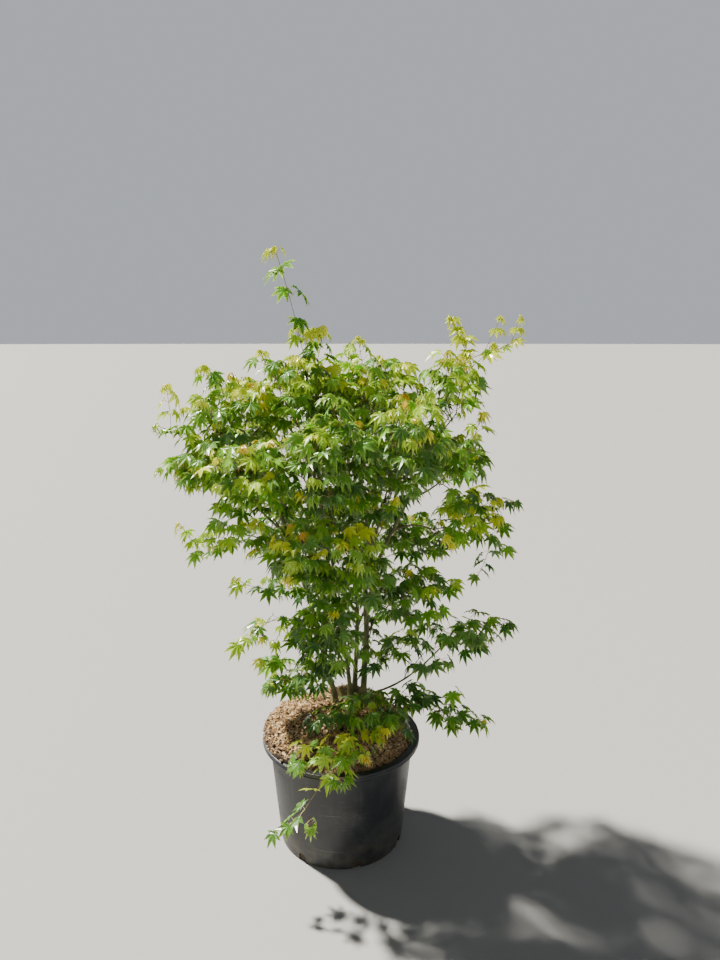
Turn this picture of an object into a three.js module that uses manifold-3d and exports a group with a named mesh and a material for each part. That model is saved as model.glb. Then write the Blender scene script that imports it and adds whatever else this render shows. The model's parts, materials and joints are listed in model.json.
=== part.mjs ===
// A japanese maple grown as a clump of stems, in a round black nursery pot.
// Millimetres, +Z up. The front of the plant faces -Y, and +X is its right.
// The origin is the middle of the pot's underside.

import Module from 'manifold-3d';
import * as THREE from 'three';
import { mergeVertices } from 'three/addons/utils/BufferGeometryUtils.js';

const wasm = await Module();
wasm.setup();

// Room left between neighbours
const GAP = 0.3;

// Pot: a tapered wall on a flat base, under a lip that turns out and over
const POT_HEIGHT = 340;
const FOOT_RADIUS = 193;
const NECK_RADIUS = 223;
const NECK_HEIGHT = 314;
const LIP_RADIUS = 245;
const LIP_DEPTH = 17;
const WALL = 3.2;
const BASE = 4;
const POT_SIDES = 34;
const NOTCH_COUNT = 7;
const NOTCH_WIDTH = 26;
const NOTCH_HEIGHT = 30;
const NOTCH_TURN = 15;
const NOTCH_DEPTH = 40;
const LIP_EDGE = 4;
const LIP_BAND = 6;
const THROAT_HEIGHT = 5;
const THROAT_FLARE = 7;

// Filling: the potting mix, and the heap of bark chips on it
const MIX_HEIGHT = 300;
const GROUND = 408;
const CLUMP = [25, 85];
const PLATEAU = 70;
const HEAP_SIDES = 30;
const HEAP_RINGS = [0.32, 0.56, 0.82, 1];
const HEAP_LOW = POT_HEIGHT - 5;
const HEAP_HIGH = POT_HEIGHT + 25;
const HEAP_SPILL = 242;
const HEAP_SPILL_FROM = 40;
const HEAP_SPILL_TO = 200;
const HEAP_CROWNING = 1.25;
const HEAP_STEEPNESS = 1.12;

// Wood: how limbs flare, taper and are faceted
const STEM_SIDES = 7;
const STEM_STEP = 75;
const BOUGH_SIDES = 5;
const BOUGH_STEP = 62;
const FLARE = 0.7;
const FLARE_HEIGHT = 22;
const STEM_FOOT = 20;
const TIP_SHARE = 0.55;

// Stems stand at foot, pass each place of the way, and are girth in radius above the flare
const STEMS = {
  stem_right: {
    foot: [70, 80], girth: 9.8,
    way: [[79, 80, 641], [76, 80, 811], [84, 90, 938], [71, 100, 1064]], tip: [52, 105, 1187],
  },
  stem_middle: {
    foot: [28, 78], girth: 7,
    way: [[6, 80, 624], [-16, 60, 753], [-39, 40, 889], [-52, 30, 1020]], tip: [-62, 30, 1150],
  },
  stem_left: {
    foot: [-22, 62], girth: 7.4,
    way: [[-54, 60, 562], [-97, 60, 756], [-133, 60, 883], [-179, 60, 1010]], tip: [-237, 60, 1134],
  },
  stem_back: {
    foot: [42, 128], girth: 8,
    way: [[50, 165, 640], [45, 220, 850], [32, 262, 1010]], tip: [18, 292, 1165],
  },
  cut_stub: {
    foot: [2, 96], girth: 10, way: [], tip: [-6, 98, GROUND + 34],
  },
};

// Boughs leave a limb at a share of its length, and their middle rises off the straight line
const BOUGHS = {
  bough_right: { on: 'stem_right', at: 0.5, tip: [262, 80, 1185], girth: 6.6, rise: 4 },
  bough_right_side: { on: 'bough_right', at: 0.72, tip: [296, 25, 1135], girth: 3.8, rise: -8 },
  bough_right_tier: { on: 'bough_right', at: 0.45, tip: [268, 62, 985], girth: 4, rise: 14 },
  bough_right_inner: { on: 'stem_right', at: 0.3, tip: [158, 96, 728], girth: 3.6, rise: 8 },
  bough_low_right: { on: 'stem_right', at: 0.045, tip: [346, 98, 612], girth: 3.6, rise: -42 },
  bough_lowest_right: { on: 'stem_right', at: 0.03, tip: [252, 12, 418], girth: 3.2, rise: 10 },
  bough_front_right: { on: 'stem_right', at: 0.6, tip: [132, -78, 1115], girth: 4.6, rise: -12 },
  bough_front_hang: { on: 'stem_middle', at: 0.04, tip: [-28, -178, 412], girth: 3.2, rise: 22 },
  bough_base_front: { on: 'stem_middle', at: 0.03, tip: [92, -42, 430], girth: 3, rise: 10 },
  bough_low_centre: { on: 'stem_middle', at: 0.2, tip: [-4, 8, 606], girth: 3.2, rise: 4 },
  bough_middle_front: { on: 'stem_middle', at: 0.4, tip: [-22, -68, 850], girth: 4.2, rise: -12 },
  bough_front: { on: 'stem_middle', at: 0.66, tip: [-18, -112, 1095], girth: 4.6, rise: -16 },
  bough_leader: { on: 'stem_middle', at: 0.84, tip: [-104, 52, 1496], girth: 4.8, rise: 0 },
  bough_low_left_inner: { on: 'stem_left', at: 0.16, tip: [-122, 16, 556], girth: 3, rise: 6 },
  bough_low_left: { on: 'stem_left', at: 0.34, tip: [-158, 20, 706], girth: 3.6, rise: 8 },
  bough_left_fronds: { on: 'stem_left', at: 0.56, tip: [-212, 8, 948], girth: 3.8, rise: 12 },
  bough_front_left: { on: 'stem_left', at: 0.48, tip: [-158, -108, 1060], girth: 4.4, rise: -22 },
  bough_left: { on: 'stem_left', at: 0.76, tip: [-282, 6, 1105], girth: 4.2, rise: -8 },
  bough_back_low_right: { on: 'stem_back', at: 0.3, tip: [132, 288, 800], girth: 4, rise: -14 },
  bough_back_low_left: { on: 'stem_back', at: 0.36, tip: [-52, 272, 820], girth: 4, rise: -14 },
  bough_back_right: { on: 'stem_back', at: 0.52, tip: [168, 302, 1050], girth: 4.6, rise: -14 },
  bough_back_left: { on: 'stem_back', at: 0.6, tip: [-122, 292, 1080], girth: 4.6, rise: -14 },
};

// Foliage masses grow from a limb's tip. Each fills a rounded space, given by its middle and
// half sizes, and some send shoots to named tips further out
const MASSES = {
  leaves_crown_left: {
    on: 'stem_middle', middle: [-115, 60, 1395], half: [155, 165, 155], shoots: 8,
    tips: [[-57, 50, 1525], [-215, 40, 1480]],
  },
  leaves_crown_right: {
    on: 'stem_right', middle: [120, 75, 1385], half: [150, 165, 145], shoots: 6,
    tips: [[60, 60, 1515]],
  },
  leaves_leader: {
    on: 'bough_leader', middle: [-145, 50, 1660], half: [75, 75, 155], shoots: 1,
    tips: [[-118, 50, 1600], [-146, 50, 1695], [-178, 50, 1790]],
  },
  leaves_left_top: {
    on: 'stem_left', middle: [-300, 60, 1345], half: [160, 165, 135], shoots: 7,
    tips: [[-385, 50, 1435], [-410, 40, 1340]],
  },
  leaves_left: {
    on: 'bough_left', middle: [-355, -15, 1190], half: [145, 155, 105], shoots: 5,
    tips: [[-440, -10, 1262], [-435, -10, 1185]],
  },
  leaves_left_fronds: {
    on: 'bough_left_fronds', middle: [-310, -50, 975], half: [190, 115, 80], shoots: 2,
    tips: [[-435, -55, 985], [-365, -70, 945]],
  },
  leaves_front: {
    on: 'bough_front', middle: [-5, -205, 1245], half: [140, 145, 155], shoots: 7,
    tips: [[-6, -230, 1370]],
  },
  leaves_front_left: {
    on: 'bough_front_left', middle: [-215, -185, 1190], half: [135, 140, 135], shoots: 6,
    tips: [[-300, -220, 1270]],
  },
  leaves_front_right: {
    on: 'bough_front_right', middle: [180, -165, 1270], half: [125, 140, 145], shoots: 6,
    tips: [[230, -200, 1370]],
  },
  leaves_right_top: {
    on: 'bough_right', middle: [335, 95, 1405], half: [135, 150, 150], shoots: 5,
    tips: [[345, 95, 1570], [425, 98, 1500]],
  },
  leaves_right: {
    on: 'bough_right_side', middle: [350, -10, 1205], half: [120, 145, 95], shoots: 5,
    tips: [[395, 0, 1285]],
  },
  leaves_right_tier: {
    on: 'bough_right_tier', middle: [385, 55, 935], half: [150, 125, 105], shoots: 4,
    tips: [[470, 85, 935], [450, 95, 865]],
  },
  leaves_right_inner: {
    on: 'bough_right_inner', middle: [235, 100, 765], half: [115, 120, 85], shoots: 4,
    tips: [[310, 85, 780]],
  },
  leaves_low_right: {
    on: 'bough_low_right', middle: [400, 100, 665], half: [150, 110, 100], shoots: 4,
    tips: [[488, 100, 650]],
  },
  leaves_lowest_right: {
    on: 'bough_lowest_right', middle: [325, 0, 425], half: [125, 105, 80], shoots: 3,
    tips: [[395, -5, 395]],
  },
  leaves_middle_front: {
    on: 'bough_middle_front', middle: [-40, -170, 970], half: [190, 140, 125], shoots: 9,
    tips: [[-190, -150, 980], [130, -150, 985]],
  },
  leaves_low_centre: {
    on: 'bough_low_centre', middle: [-10, -85, 700], half: [145, 125, 130], shoots: 7,
    tips: [],
  },
  leaves_low_left: {
    on: 'bough_low_left', middle: [-215, -20, 700], half: [120, 105, 80], shoots: 4,
    tips: [[-265, -50, 680]],
  },
  leaves_low_left_inner: {
    on: 'bough_low_left_inner', middle: [-170, -10, 550], half: [95, 100, 75], shoots: 3,
    tips: [[-205, -40, 590]],
  },
  leaves_front_hang: {
    on: 'bough_front_hang', middle: [-75, -300, 345], half: [110, 85, 145], shoots: 3,
    tips: [[-118, -300, 275], [-20, -300, 320]],
  },
  leaves_base_front: {
    on: 'bough_base_front', middle: [105, -90, 455], half: [150, 120, 75], shoots: 4,
    tips: [],
  },
  leaves_back_top: {
    on: 'stem_back', middle: [20, 325, 1345], half: [190, 155, 155], shoots: 5,
    tips: [[20, 330, 1490]],
  },
  leaves_back_left: {
    on: 'bough_back_left', middle: [-235, 315, 1190], half: [175, 155, 150], shoots: 5,
    tips: [[-390, 330, 1230]],
  },
  leaves_back_right: {
    on: 'bough_back_right', middle: [270, 325, 1165], half: [175, 155, 150], shoots: 5,
    tips: [[420, 340, 1200]],
  },
  leaves_back_low_left: {
    on: 'bough_back_low_left', middle: [-140, 330, 905], half: [180, 140, 115], shoots: 4,
    tips: [[-290, 340, 900]],
  },
  leaves_back_low_right: {
    on: 'bough_back_low_right', middle: [215, 335, 890], half: [180, 140, 115], shoots: 4,
    tips: [[360, 350, 880]],
  },
};

// Growing: how shoots reach out, and how leaves stand on them
const SEED = 71;
const COLLAR = 16;
const CANDIDATES = 7;
const BALANCE = 0.35;
const SHELL = [0.5, 1];
const INSET = 62;
const LEAST_ROOM = 0.35;
const PARENT_CHOICES = 3;
const TWIG_TIP = 2.5;
const TWIG_SWELL = 0.36;
const TWIG_MOST = 5;
const TWIG_SINK = 1.6;
const TWIG_ROOM = 3;
const TWIG_FORK = 0.6;
const BEND_MOST = 70;
const SPACE_EDGE = 1.25;
const LEAF_TRIES = 16;
const LEAF_ROOM = 1.03;

// How leaves look along the twig, ahead and outwards, how far they hang and turn, and their sizes
const PAIR_AHEAD = 0.55;
const LEAF_AHEAD = 0.9;
const TIP_OUTWARD = 0.6;
const LEAF_OUTWARD = 0.25;
const UPRIGHT = 0.4;
const HANG_LEAST = 0.45;
const HANG_SPREAD = 0.9;
const HANG_EASE = 0.8;
const STRAY = 1.5;
const ROLL = 0.35;
const SIZE_MOST = 1.06;
const SIZE_EASE = 0.22;

// Leaf: five pointed lobes round the end of a short stalk
const LEAF_STALK = 30;
const LEAF_LOBES = [0.66, 0.94, 1, 0.94, 0.66];
const LEAF_LOBE = 80;
const LEAF_SPREAD = 52;
const LEAF_NOTCH = 0.3;
const LEAF_SHOULDER = 4.5;
const LEAF_THICK = 4.4;
const LEAF_DROOP = 10;
const LEAF_START = 0.2;
const LEAF_NECK = 7;

const UP = new THREE.Vector3(0, 0, 1);
const FIRST_NORMAL = new THREE.Vector3(0.31, 0.17, 0.93);

// A repeatable stream of numbers from 0 to 1
function stream(seed) {
  let state = seed;
  return () => {
    state = (state + 0x6d2b79f5) | 0;
    let mixed = Math.imul(state ^ (state >>> 15), 1 | state);
    mixed = (mixed + Math.imul(mixed ^ (mixed >>> 7), 61 | mixed)) ^ mixed;
    return ((mixed ^ (mixed >>> 14)) >>> 0) / 4294967296;
  };
}

// From a closed three.js geometry to a solid that can be joined and cut
function solidOf(geometry) {
  const plain = geometry.clone();
  plain.deleteAttribute('normal');
  plain.deleteAttribute('uv');
  const merged = mergeVertices(plain, 1e-4);
  const index = merged.index.array;
  const faces = [];
  for (let i = 0; i < index.length; i += 3) {
    const [a, b, c] = [index[i], index[i + 1], index[i + 2]];
    if (a !== b && b !== c && c !== a) {
      faces.push(a, b, c);
    }
  }
  return new wasm.Manifold(new wasm.Mesh({
    numProp: 3,
    vertProperties: new Float32Array(merged.attributes.position.array),
    triVerts: new Uint32Array(faces),
  }));
}

// From a solid back to a three.js geometry
function geometryOf(solid) {
  const mesh = solid.getMesh();
  const geometry = new THREE.BufferGeometry();
  const places = new Float32Array(mesh.numVert * 3);
  for (let i = 0; i < mesh.numVert; i += 1) {
    for (let axis = 0; axis < 3; axis += 1) {
      places[i * 3 + axis] = mesh.vertProperties[i * mesh.numProp + axis];
    }
  }
  geometry.setAttribute('position', new THREE.BufferAttribute(places, 3));
  geometry.setIndex(new THREE.BufferAttribute(new Uint32Array(mesh.triVerts), 1));
  geometry.computeVertexNormals();
  return geometry;
}

// The largest body of a solid, without loose scraps
function mainBody(solid) {
  const bodies = solid.decompose();
  return bodies.reduce((best, body) => (body.volume() > best.volume() ? body : best));
}

// Everything already in place, so that new growth can keep clear of it
const taken = [];

function take(solid) {
  taken.push({ solid, box: solid.boundingBox() });
  return solid;
}

function boxesMeet(a, b) {
  return [0, 1, 2].every((axis) => a.min[axis] < b.max[axis] && b.min[axis] < a.max[axis]);
}

function touches(solid, others) {
  const box = solid.boundingBox();
  return others.some((other) => boxesMeet(box, other.box) && !solid.intersect(other.solid).isEmpty());
}

// Turned shapes

function turned(profile, sides) {
  const points = profile.map(([radius, height]) => new THREE.Vector2(radius, height));
  return new THREE.LatheGeometry(points, sides).rotateX(Math.PI / 2);
}

function wallRadius(height) {
  return FOOT_RADIUS + ((NECK_RADIUS - FOOT_RADIUS) * height) / NECK_HEIGHT;
}

// The pot's section, outside first, set off outwards by a margin for what keeps clear of it
function potProfile(margin) {
  const lipMiddle = POT_HEIGHT - LIP_DEPTH / 2;
  const inside = wallRadius(NECK_HEIGHT) - WALL;
  return [
    [0, -margin],
    [FOOT_RADIUS + margin, -margin],
    [NECK_RADIUS + margin, NECK_HEIGHT],
    [NECK_RADIUS + LIP_EDGE + margin, POT_HEIGHT - LIP_DEPTH - margin],
    [LIP_RADIUS - LIP_EDGE, POT_HEIGHT - LIP_DEPTH - margin],
    [LIP_RADIUS + margin, lipMiddle - LIP_BAND / 2],
    [LIP_RADIUS + margin, lipMiddle + LIP_BAND / 2],
    [LIP_RADIUS - LIP_EDGE, POT_HEIGHT + margin],
    [inside + THROAT_FLARE, POT_HEIGHT + margin],
    [inside - margin, POT_HEIGHT - THROAT_HEIGHT],
    [inside - margin, NECK_HEIGHT],
    [wallRadius(BASE) - WALL - margin, BASE + margin],
    [0, BASE + margin],
  ];
}

function makePot() {
  let pot = solidOf(turned(potProfile(0), POT_SIDES));
  for (let i = 0; i < NOTCH_COUNT; i += 1) {
    const angle = (-90 + NOTCH_TURN + (360 * i) / NOTCH_COUNT) * (Math.PI / 180);
    const block = new THREE.BoxGeometry(NOTCH_DEPTH, NOTCH_WIDTH, NOTCH_HEIGHT);
    block.translate(FOOT_RADIUS, 0, NOTCH_HEIGHT / 2 - WALL);
    block.rotateZ(angle);
    pot = pot.subtract(solidOf(block));
  }
  return pot;
}

function makeMix() {
  const foot = wallRadius(BASE) - WALL - GAP;
  const shoulder = wallRadius(MIX_HEIGHT) - WALL - GAP;
  const profile = [[0, BASE + GAP], [foot, BASE + GAP], [shoulder, MIX_HEIGHT], [0, MIX_HEIGHT]];
  return solidOf(turned(profile, POT_SIDES));
}

// The heap is highest where the stems stand, and spills over the lip on the left
function heapRim(x) {
  const left = THREE.MathUtils.smoothstep(-x, HEAP_SPILL_FROM, HEAP_SPILL_TO);
  const inside = wallRadius(NECK_HEIGHT) - WALL - 4 * GAP;
  return {
    radius: THREE.MathUtils.lerp(inside, HEAP_SPILL, left),
    height: THREE.MathUtils.lerp(HEAP_LOW, HEAP_HIGH, left),
  };
}

function makeHeap(pot) {
  const rings = HEAP_RINGS.toReversed().map((ring) => [ring, 1]);
  const profile = [[0, 0], [1, 0], ...rings, [0, 1]];
  const geometry = turned(profile, HEAP_SIDES);
  const place = geometry.attributes.position;
  for (let i = 0; i < place.count; i += 1) {
    const [x, y, level] = [place.getX(i), place.getY(i), place.getZ(i)];
    const share = Math.hypot(x, y);
    const angle = Math.atan2(y, x);
    const rim = heapRim(Math.cos(angle) * NECK_RADIUS);
    const edge = [Math.cos(angle) * rim.radius, Math.sin(angle) * rim.radius];
    const out = Math.hypot(edge[0] - CLUMP[0], edge[1] - CLUMP[1]);
    const fall = THREE.MathUtils.smootherstep(share * out, PLATEAU, out * HEAP_CROWNING);
    const top = GROUND + (rim.height - GROUND) * Math.min(1, fall * HEAP_STEEPNESS);
    place.setXYZ(
      i,
      CLUMP[0] + (edge[0] - CLUMP[0]) * share,
      CLUMP[1] + (edge[1] - CLUMP[1]) * share,
      level > 0.5 ? top : MIX_HEIGHT + GAP,
    );
  }
  const guard = solidOf(turned(potProfile(GAP), POT_SIDES));
  return mainBody(solidOf(geometry).subtract(guard).subtract(pot));
}

// Limbs

// A closed cylinder whose rings are moved to a row of places, each with its own radius
function bent(places, radii, sides) {
  const steps = places.length - 1;
  const geometry = new THREE.CylinderGeometry(1, 1, 1, sides, steps);
  const frames = [];
  let normal = FIRST_NORMAL;
  places.forEach((spot, i) => {
    const before = places[Math.max(0, i - 1)];
    const after = places[Math.min(steps, i + 1)];
    const into = spot.clone().sub(before).normalize();
    const onward = after.clone().sub(spot).normalize();
    const along = into.add(onward).normalize();
    normal = normal.clone().addScaledVector(along, -normal.dot(along)).normalize();
    frames.push({ normal, binormal: new THREE.Vector3().crossVectors(along, normal) });
  });
  const place = geometry.attributes.position;
  for (let i = 0; i < place.count; i += 1) {
    const ring = Math.round((place.getY(i) + 0.5) * steps);
    const spot = places[ring].clone();
    spot.addScaledVector(frames[ring].binormal, place.getX(i) * radii[ring]);
    spot.addScaledVector(frames[ring].normal, place.getZ(i) * radii[ring]);
    place.setXYZ(i, spot.x, spot.y, spot.z);
  }
  return geometry;
}

const limbs = {};

function vector(place) {
  return new THREE.Vector3(...place);
}

function limbSolid(limb, extra) {
  const places = limb.curve.getSpacedPoints(limb.steps);
  const radii = places.map((spot, i) => limb.radiusAt(i / limb.steps) + extra);
  return solidOf(bent(places, radii, limb.sides));
}

// Clears away all that lies under the flat ground of the heap
function underground() {
  const block = new THREE.BoxGeometry(2 * LIP_RADIUS, 2 * LIP_RADIUS, GROUND);
  return solidOf(block.translate(0, 0, GAP + GROUND / 2));
}

function makeStem(name, plan) {
  const foot = [...plan.foot, GROUND - STEM_FOOT];
  const knee = [...plan.foot, GROUND + STEM_FOOT];
  const points = [foot, knee, ...plan.way, plan.tip].map(vector);
  const curve = new THREE.CatmullRomCurve3(points, false, 'centripetal');
  const length = curve.getLength();
  const radiusAt = (share) => {
    const above = Math.max(0, share * length - STEM_FOOT);
    const flare = FLARE * Math.exp(-above / FLARE_HEIGHT);
    return plan.girth * (1 - (1 - TIP_SHARE) * share + flare);
  };
  const steps = Math.round(length / STEM_STEP) + 3;
  limbs[name] = { curve, radiusAt, sides: STEM_SIDES, steps };
  return limbSolid(limbs[name], 0).subtract(underground());
}

function makeBough(name, plan) {
  const start = limbs[plan.on].curve.getPointAt(plan.at);
  const tip = vector(plan.tip);
  const middle = start.clone().add(tip).multiplyScalar(0.5);
  middle.z += 2 * plan.rise;
  const curve = new THREE.QuadraticBezierCurve3(start, middle, tip);
  const radiusAt = (share) => plan.girth * (1 - (1 - TIP_SHARE) * share);
  const steps = Math.max(3, Math.round(curve.getLength() / BOUGH_STEP));
  limbs[name] = { curve, radiusAt, sides: BOUGH_SIDES, steps };
  return mainBody(limbSolid(limbs[name], 0).subtract(limbSolid(limbs[plan.on], GAP)));
}

// Foliage

function insideSpace(place, plan, edge) {
  const offset = place.toArray().map((value, axis) => (value - plan.middle[axis]) / plan.half[axis]);
  return Math.hypot(...offset) <= edge;
}

function randomPlace(plan, random) {
  const height = 2 * random() - 1;
  const turn = 2 * Math.PI * random();
  const reach = SHELL[0] + (SHELL[1] - SHELL[0]) * Math.cbrt(random());
  const wide = Math.sqrt(1 - height * height);
  const unit = [Math.cos(turn) * wide, Math.sin(turn) * wide, height];
  const room = plan.half.map((half) => Math.max(half - INSET, LEAST_ROOM * half));
  return vector(unit.map((value, axis) => plan.middle[axis] + value * reach * room[axis]));
}

// Each new place is the emptiest of a few random ones
function spreadPlaces(plan, random) {
  const places = plan.tips.map(vector);
  for (let i = 0; i < plan.shoots; i += 1) {
    const choices = Array.from({ length: CANDIDATES }, () => randomPlace(plan, random));
    const clearance = (choice) => Math.min(...places.map((other) => other.distanceTo(choice)));
    places.push(choices.reduce((best, choice) => (clearance(choice) > clearance(best) ? choice : best)));
  }
  return places;
}

// A straight three-sided twig, used to test whether there is room for one
function straightTwig(from, to, radius) {
  return solidOf(bent([from, to], [radius, radius], 3));
}

// Places join the tree one by one, each at the node that gives a short and direct way from the root
function growTree(plan, root, heading, random) {
  const collar = root.clone().addScaledVector(heading, COLLAR);
  const nodes = [{ place: root, parent: -1, path: 0 }, { place: collar, parent: 0, path: COLLAR }];
  const places = spreadPlaces(plan, random);
  places.sort((a, b) => a.distanceTo(collar) - b.distanceTo(collar));
  for (const place of places) {
    const cost = (node) => node.place.distanceTo(place) + BALANCE * node.path;
    const order = nodes.map((node, index) => index).slice(1).sort((a, b) => cost(nodes[a]) - cost(nodes[b]));
    const parent = order.slice(0, PARENT_CHOICES).find((index) => {
      return !touches(straightTwig(nodes[index].place, place, TWIG_TIP + TWIG_ROOM), taken);
    });
    if (parent !== undefined) {
      const path = nodes[parent].path + nodes[parent].place.distanceTo(place);
      nodes.push({ place, parent, path });
    }
  }
  for (const node of nodes) {
    node.load = 0;
  }
  for (let i = nodes.length - 1; i > 0; i -= 1) {
    nodes[i].load = Math.max(1, nodes[i].load);
    nodes[nodes[i].parent].load += nodes[i].load;
  }
  return nodes;
}

// A twig swells with the number of shoots that it carries
function twigRadius(load) {
  return Math.min(TWIG_MOST, TWIG_TIP * Math.max(1, load) ** TWIG_SWELL);
}

// Rows of nodes that make one twig each: a twig goes on along its heaviest shoot
function twigRows(nodes) {
  const rows = [];
  const follow = (start, first) => {
    const row = [start];
    let current = first;
    while (current !== undefined) {
      const into = nodes[current].place.clone().sub(nodes[row.at(-1)].place);
      row.push(current);
      const onward = nodes.map((node, i) => i).filter((i) => nodes[i].parent === row.at(-1));
      onward.sort((a, b) => nodes[b].load - nodes[a].load);
      const bend = (i) => into.angleTo(nodes[i].place.clone().sub(nodes[row.at(-1)].place));
      const next = onward.find((i) => bend(i) < BEND_MOST * (Math.PI / 180));
      onward.filter((i) => i !== next).forEach((i) => follow(row.at(-1), i));
      current = next;
    }
    rows.push(row);
  };
  follow(0, 1);
  return rows;
}

function rowSolid(row, nodes) {
  const places = row.map((index) => nodes[index].place.clone());
  const along = places.at(-1).clone().sub(places.at(-2)).normalize();
  places.at(-1).addScaledVector(along, TWIG_SINK);
  const radii = row.map((index, i) => twigRadius(nodes[row[Math.min(i + 1, row.length - 1)]].load));
  if (row[0] > 0) {
    radii[0] = Math.min(radii[0], TWIG_FORK * twigRadius(nodes[row[0]].load));
  }
  return solidOf(bent(places, radii, 3));
}

// A flat double cone whose edge is drawn out to the leaf's outline
function leafGeometry() {
  const outline = [[LEAF_START, 0], [LEAF_STALK - LEAF_NECK, -LEAF_SHOULDER]];
  LEAF_LOBES.forEach((lobe, i) => {
    const turn = (i - 2) * LEAF_SPREAD * (Math.PI / 180);
    outline.push([LEAF_STALK + LEAF_LOBE * lobe * Math.cos(turn), LEAF_LOBE * lobe * Math.sin(turn)]);
    if (i < LEAF_LOBES.length - 1) {
      const notch = turn + (LEAF_SPREAD / 2) * (Math.PI / 180);
      outline.push([
        LEAF_STALK + LEAF_LOBE * LEAF_NOTCH * Math.cos(notch),
        LEAF_LOBE * LEAF_NOTCH * Math.sin(notch),
      ]);
    }
  });
  outline.push([LEAF_STALK - LEAF_NECK, LEAF_SHOULDER]);
  const geometry = new THREE.SphereGeometry(1, outline.length, 2).rotateX(Math.PI / 2);
  const place = geometry.attributes.position;
  for (let i = 0; i < place.count; i += 1) {
    const level = Math.round(place.getZ(i));
    const turn = Math.atan2(place.getY(i), place.getX(i)) / (2 * Math.PI) + 1;
    const corner = Math.round(turn * outline.length) % outline.length;
    const [x, y] = level === 0 ? outline[corner] : [LEAF_STALK, 0];
    const out = Math.hypot(x - LEAF_STALK, y) / LEAF_LOBE;
    place.setXYZ(i, x, y, level === 0 ? -LEAF_DROOP * out * out : (level * LEAF_THICK) / 2);
  }
  return geometry;
}

const LEAF = leafGeometry();

function leafSolid(base, out, roll, size) {
  const across = new THREE.Vector3().crossVectors(UP, out).normalize();
  const normal = new THREE.Vector3().crossVectors(out, across);
  const turn = new THREE.Quaternion().setFromAxisAngle(out, roll);
  across.applyQuaternion(turn);
  normal.applyQuaternion(turn);
  const frame = new THREE.Matrix4().makeBasis(out, across, normal).scale(new THREE.Vector3(size, size, size));
  frame.setPosition(base);
  return solidOf(LEAF.clone().applyMatrix4(frame));
}

// Leaves stand in pairs across the twig, look outwards and hang a little
function leafDirections(node, nodes, plan) {
  const along = node.place.clone().sub(nodes[node.parent].place).normalize();
  const outward = node.place.clone().sub(vector(plan.middle)).setZ(0).normalize();
  const across = new THREE.Vector3().crossVectors(along, UP);
  if (across.length() < UPRIGHT) {
    across.crossVectors(outward, UP);
  }
  across.normalize();
  const pair = [1, -1].map((side) => across.clone().multiplyScalar(side).addScaledVector(along, PAIR_AHEAD));
  const ahead = along.clone().multiplyScalar(LEAF_AHEAD).addScaledVector(outward, TIP_OUTWARD);
  const directions = node.tip ? [ahead, ...pair] : pair;
  return directions.map((direction) => direction.addScaledVector(outward, LEAF_OUTWARD));
}

// A leaf tries its own direction first, and then strays further from it until it has room
function placeLeaf(node, direction, random, fits) {
  for (let attempt = 0; attempt < LEAF_TRIES; attempt += 1) {
    const freedom = attempt / LEAF_TRIES;
    const out = direction.clone();
    out.x += freedom * STRAY * (2 * random() - 1);
    out.y += freedom * STRAY * (2 * random() - 1);
    out.setZ(0).normalize();
    out.z -= (HANG_LEAST + HANG_SPREAD * random()) * (1 - HANG_EASE * freedom);
    out.normalize();
    const roll = ROLL * (2 * random() - 1);
    const size = SIZE_MOST - SIZE_EASE * freedom * random();
    const leaf = leafSolid(node.place, out, roll, size);
    const wide = leafSolid(node.place, out, roll, size * LEAF_ROOM);
    const end = node.place.clone().addScaledVector(out, (LEAF_STALK + LEAF_LOBE) * size);
    if (fits(leaf, wide, end)) {
      return leaf;
    }
  }
  return undefined;
}

function growLeaves(nodes, twigs, plan, random) {
  const leaves = [];
  for (let index = 2; index < nodes.length; index += 1) {
    const node = nodes[index];
    const near = twigs.filter((twig) => twig.from !== index && twig.to !== index);
    const fits = (leaf, wide, end) => {
      const inside = node.tip || insideSpace(end, plan, SPACE_EDGE);
      return inside && !touches(wide, taken) && !touches(leaf, leaves) && !touches(leaf, near);
    };
    for (const direction of leafDirections(node, nodes, plan)) {
      const leaf = placeLeaf(node, direction, random, fits);
      if (leaf) {
        leaves.push({ solid: leaf, box: leaf.boundingBox() });
      }
    }
  }
  return leaves.map((leaf) => leaf.solid);
}

function makeMass(plan, seed) {
  const random = stream(seed);
  const carrier = limbs[plan.on].curve;
  const heading = carrier.getTangentAt(1);
  const root = carrier.getPointAt(1).addScaledVector(heading, GAP);
  const nodes = growTree(plan, root, heading, random);
  const tips = plan.tips.map(vector);
  for (const node of nodes) {
    node.tip = tips.some((tip) => tip.equals(node.place));
  }
  const twigs = nodes.slice(1).map((node, i) => {
    const solid = straightTwig(nodes[node.parent].place, node.place, TWIG_TIP);
    return { solid, box: solid.boundingBox(), from: node.parent, to: i + 1 };
  });
  const leaves = growLeaves(nodes, twigs, plan, random);
  const rows = twigRows(nodes).map((row) => rowSolid(row, nodes));
  return mainBody(wasm.Manifold.union([...rows, ...leaves]));
}

// Finishes
const PLASTIC = { color: 0x23262b, roughness: 0.5, metalness: 0 };
const SOIL = { color: 0x3a2a1e, roughness: 0.95, metalness: 0 };
const CHIPS = { color: 0xb08a63, roughness: 0.9, metalness: 0 };
const BARK = { color: 0x5d5a35, roughness: 0.8, metalness: 0 };
const DEEP_GREEN = new THREE.Color(0x2f5f20);
const LIGHT_GREEN = new THREE.Color(0x9cc23c);

// Leaves grow paler and yellower from the foot of the plant to its top
function leafFinish(height) {
  const share = THREE.MathUtils.smoothstep(height, GROUND, 1500);
  return { color: DEEP_GREEN.clone().lerp(LIGHT_GREEN, share), roughness: 0.5, metalness: 0 };
}

const plant = new THREE.Group();

function addPart(name, solid, finish) {
  const mesh = new THREE.Mesh(geometryOf(solid), new THREE.MeshStandardMaterial(finish));
  mesh.name = name;
  plant.add(mesh);
}

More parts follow.
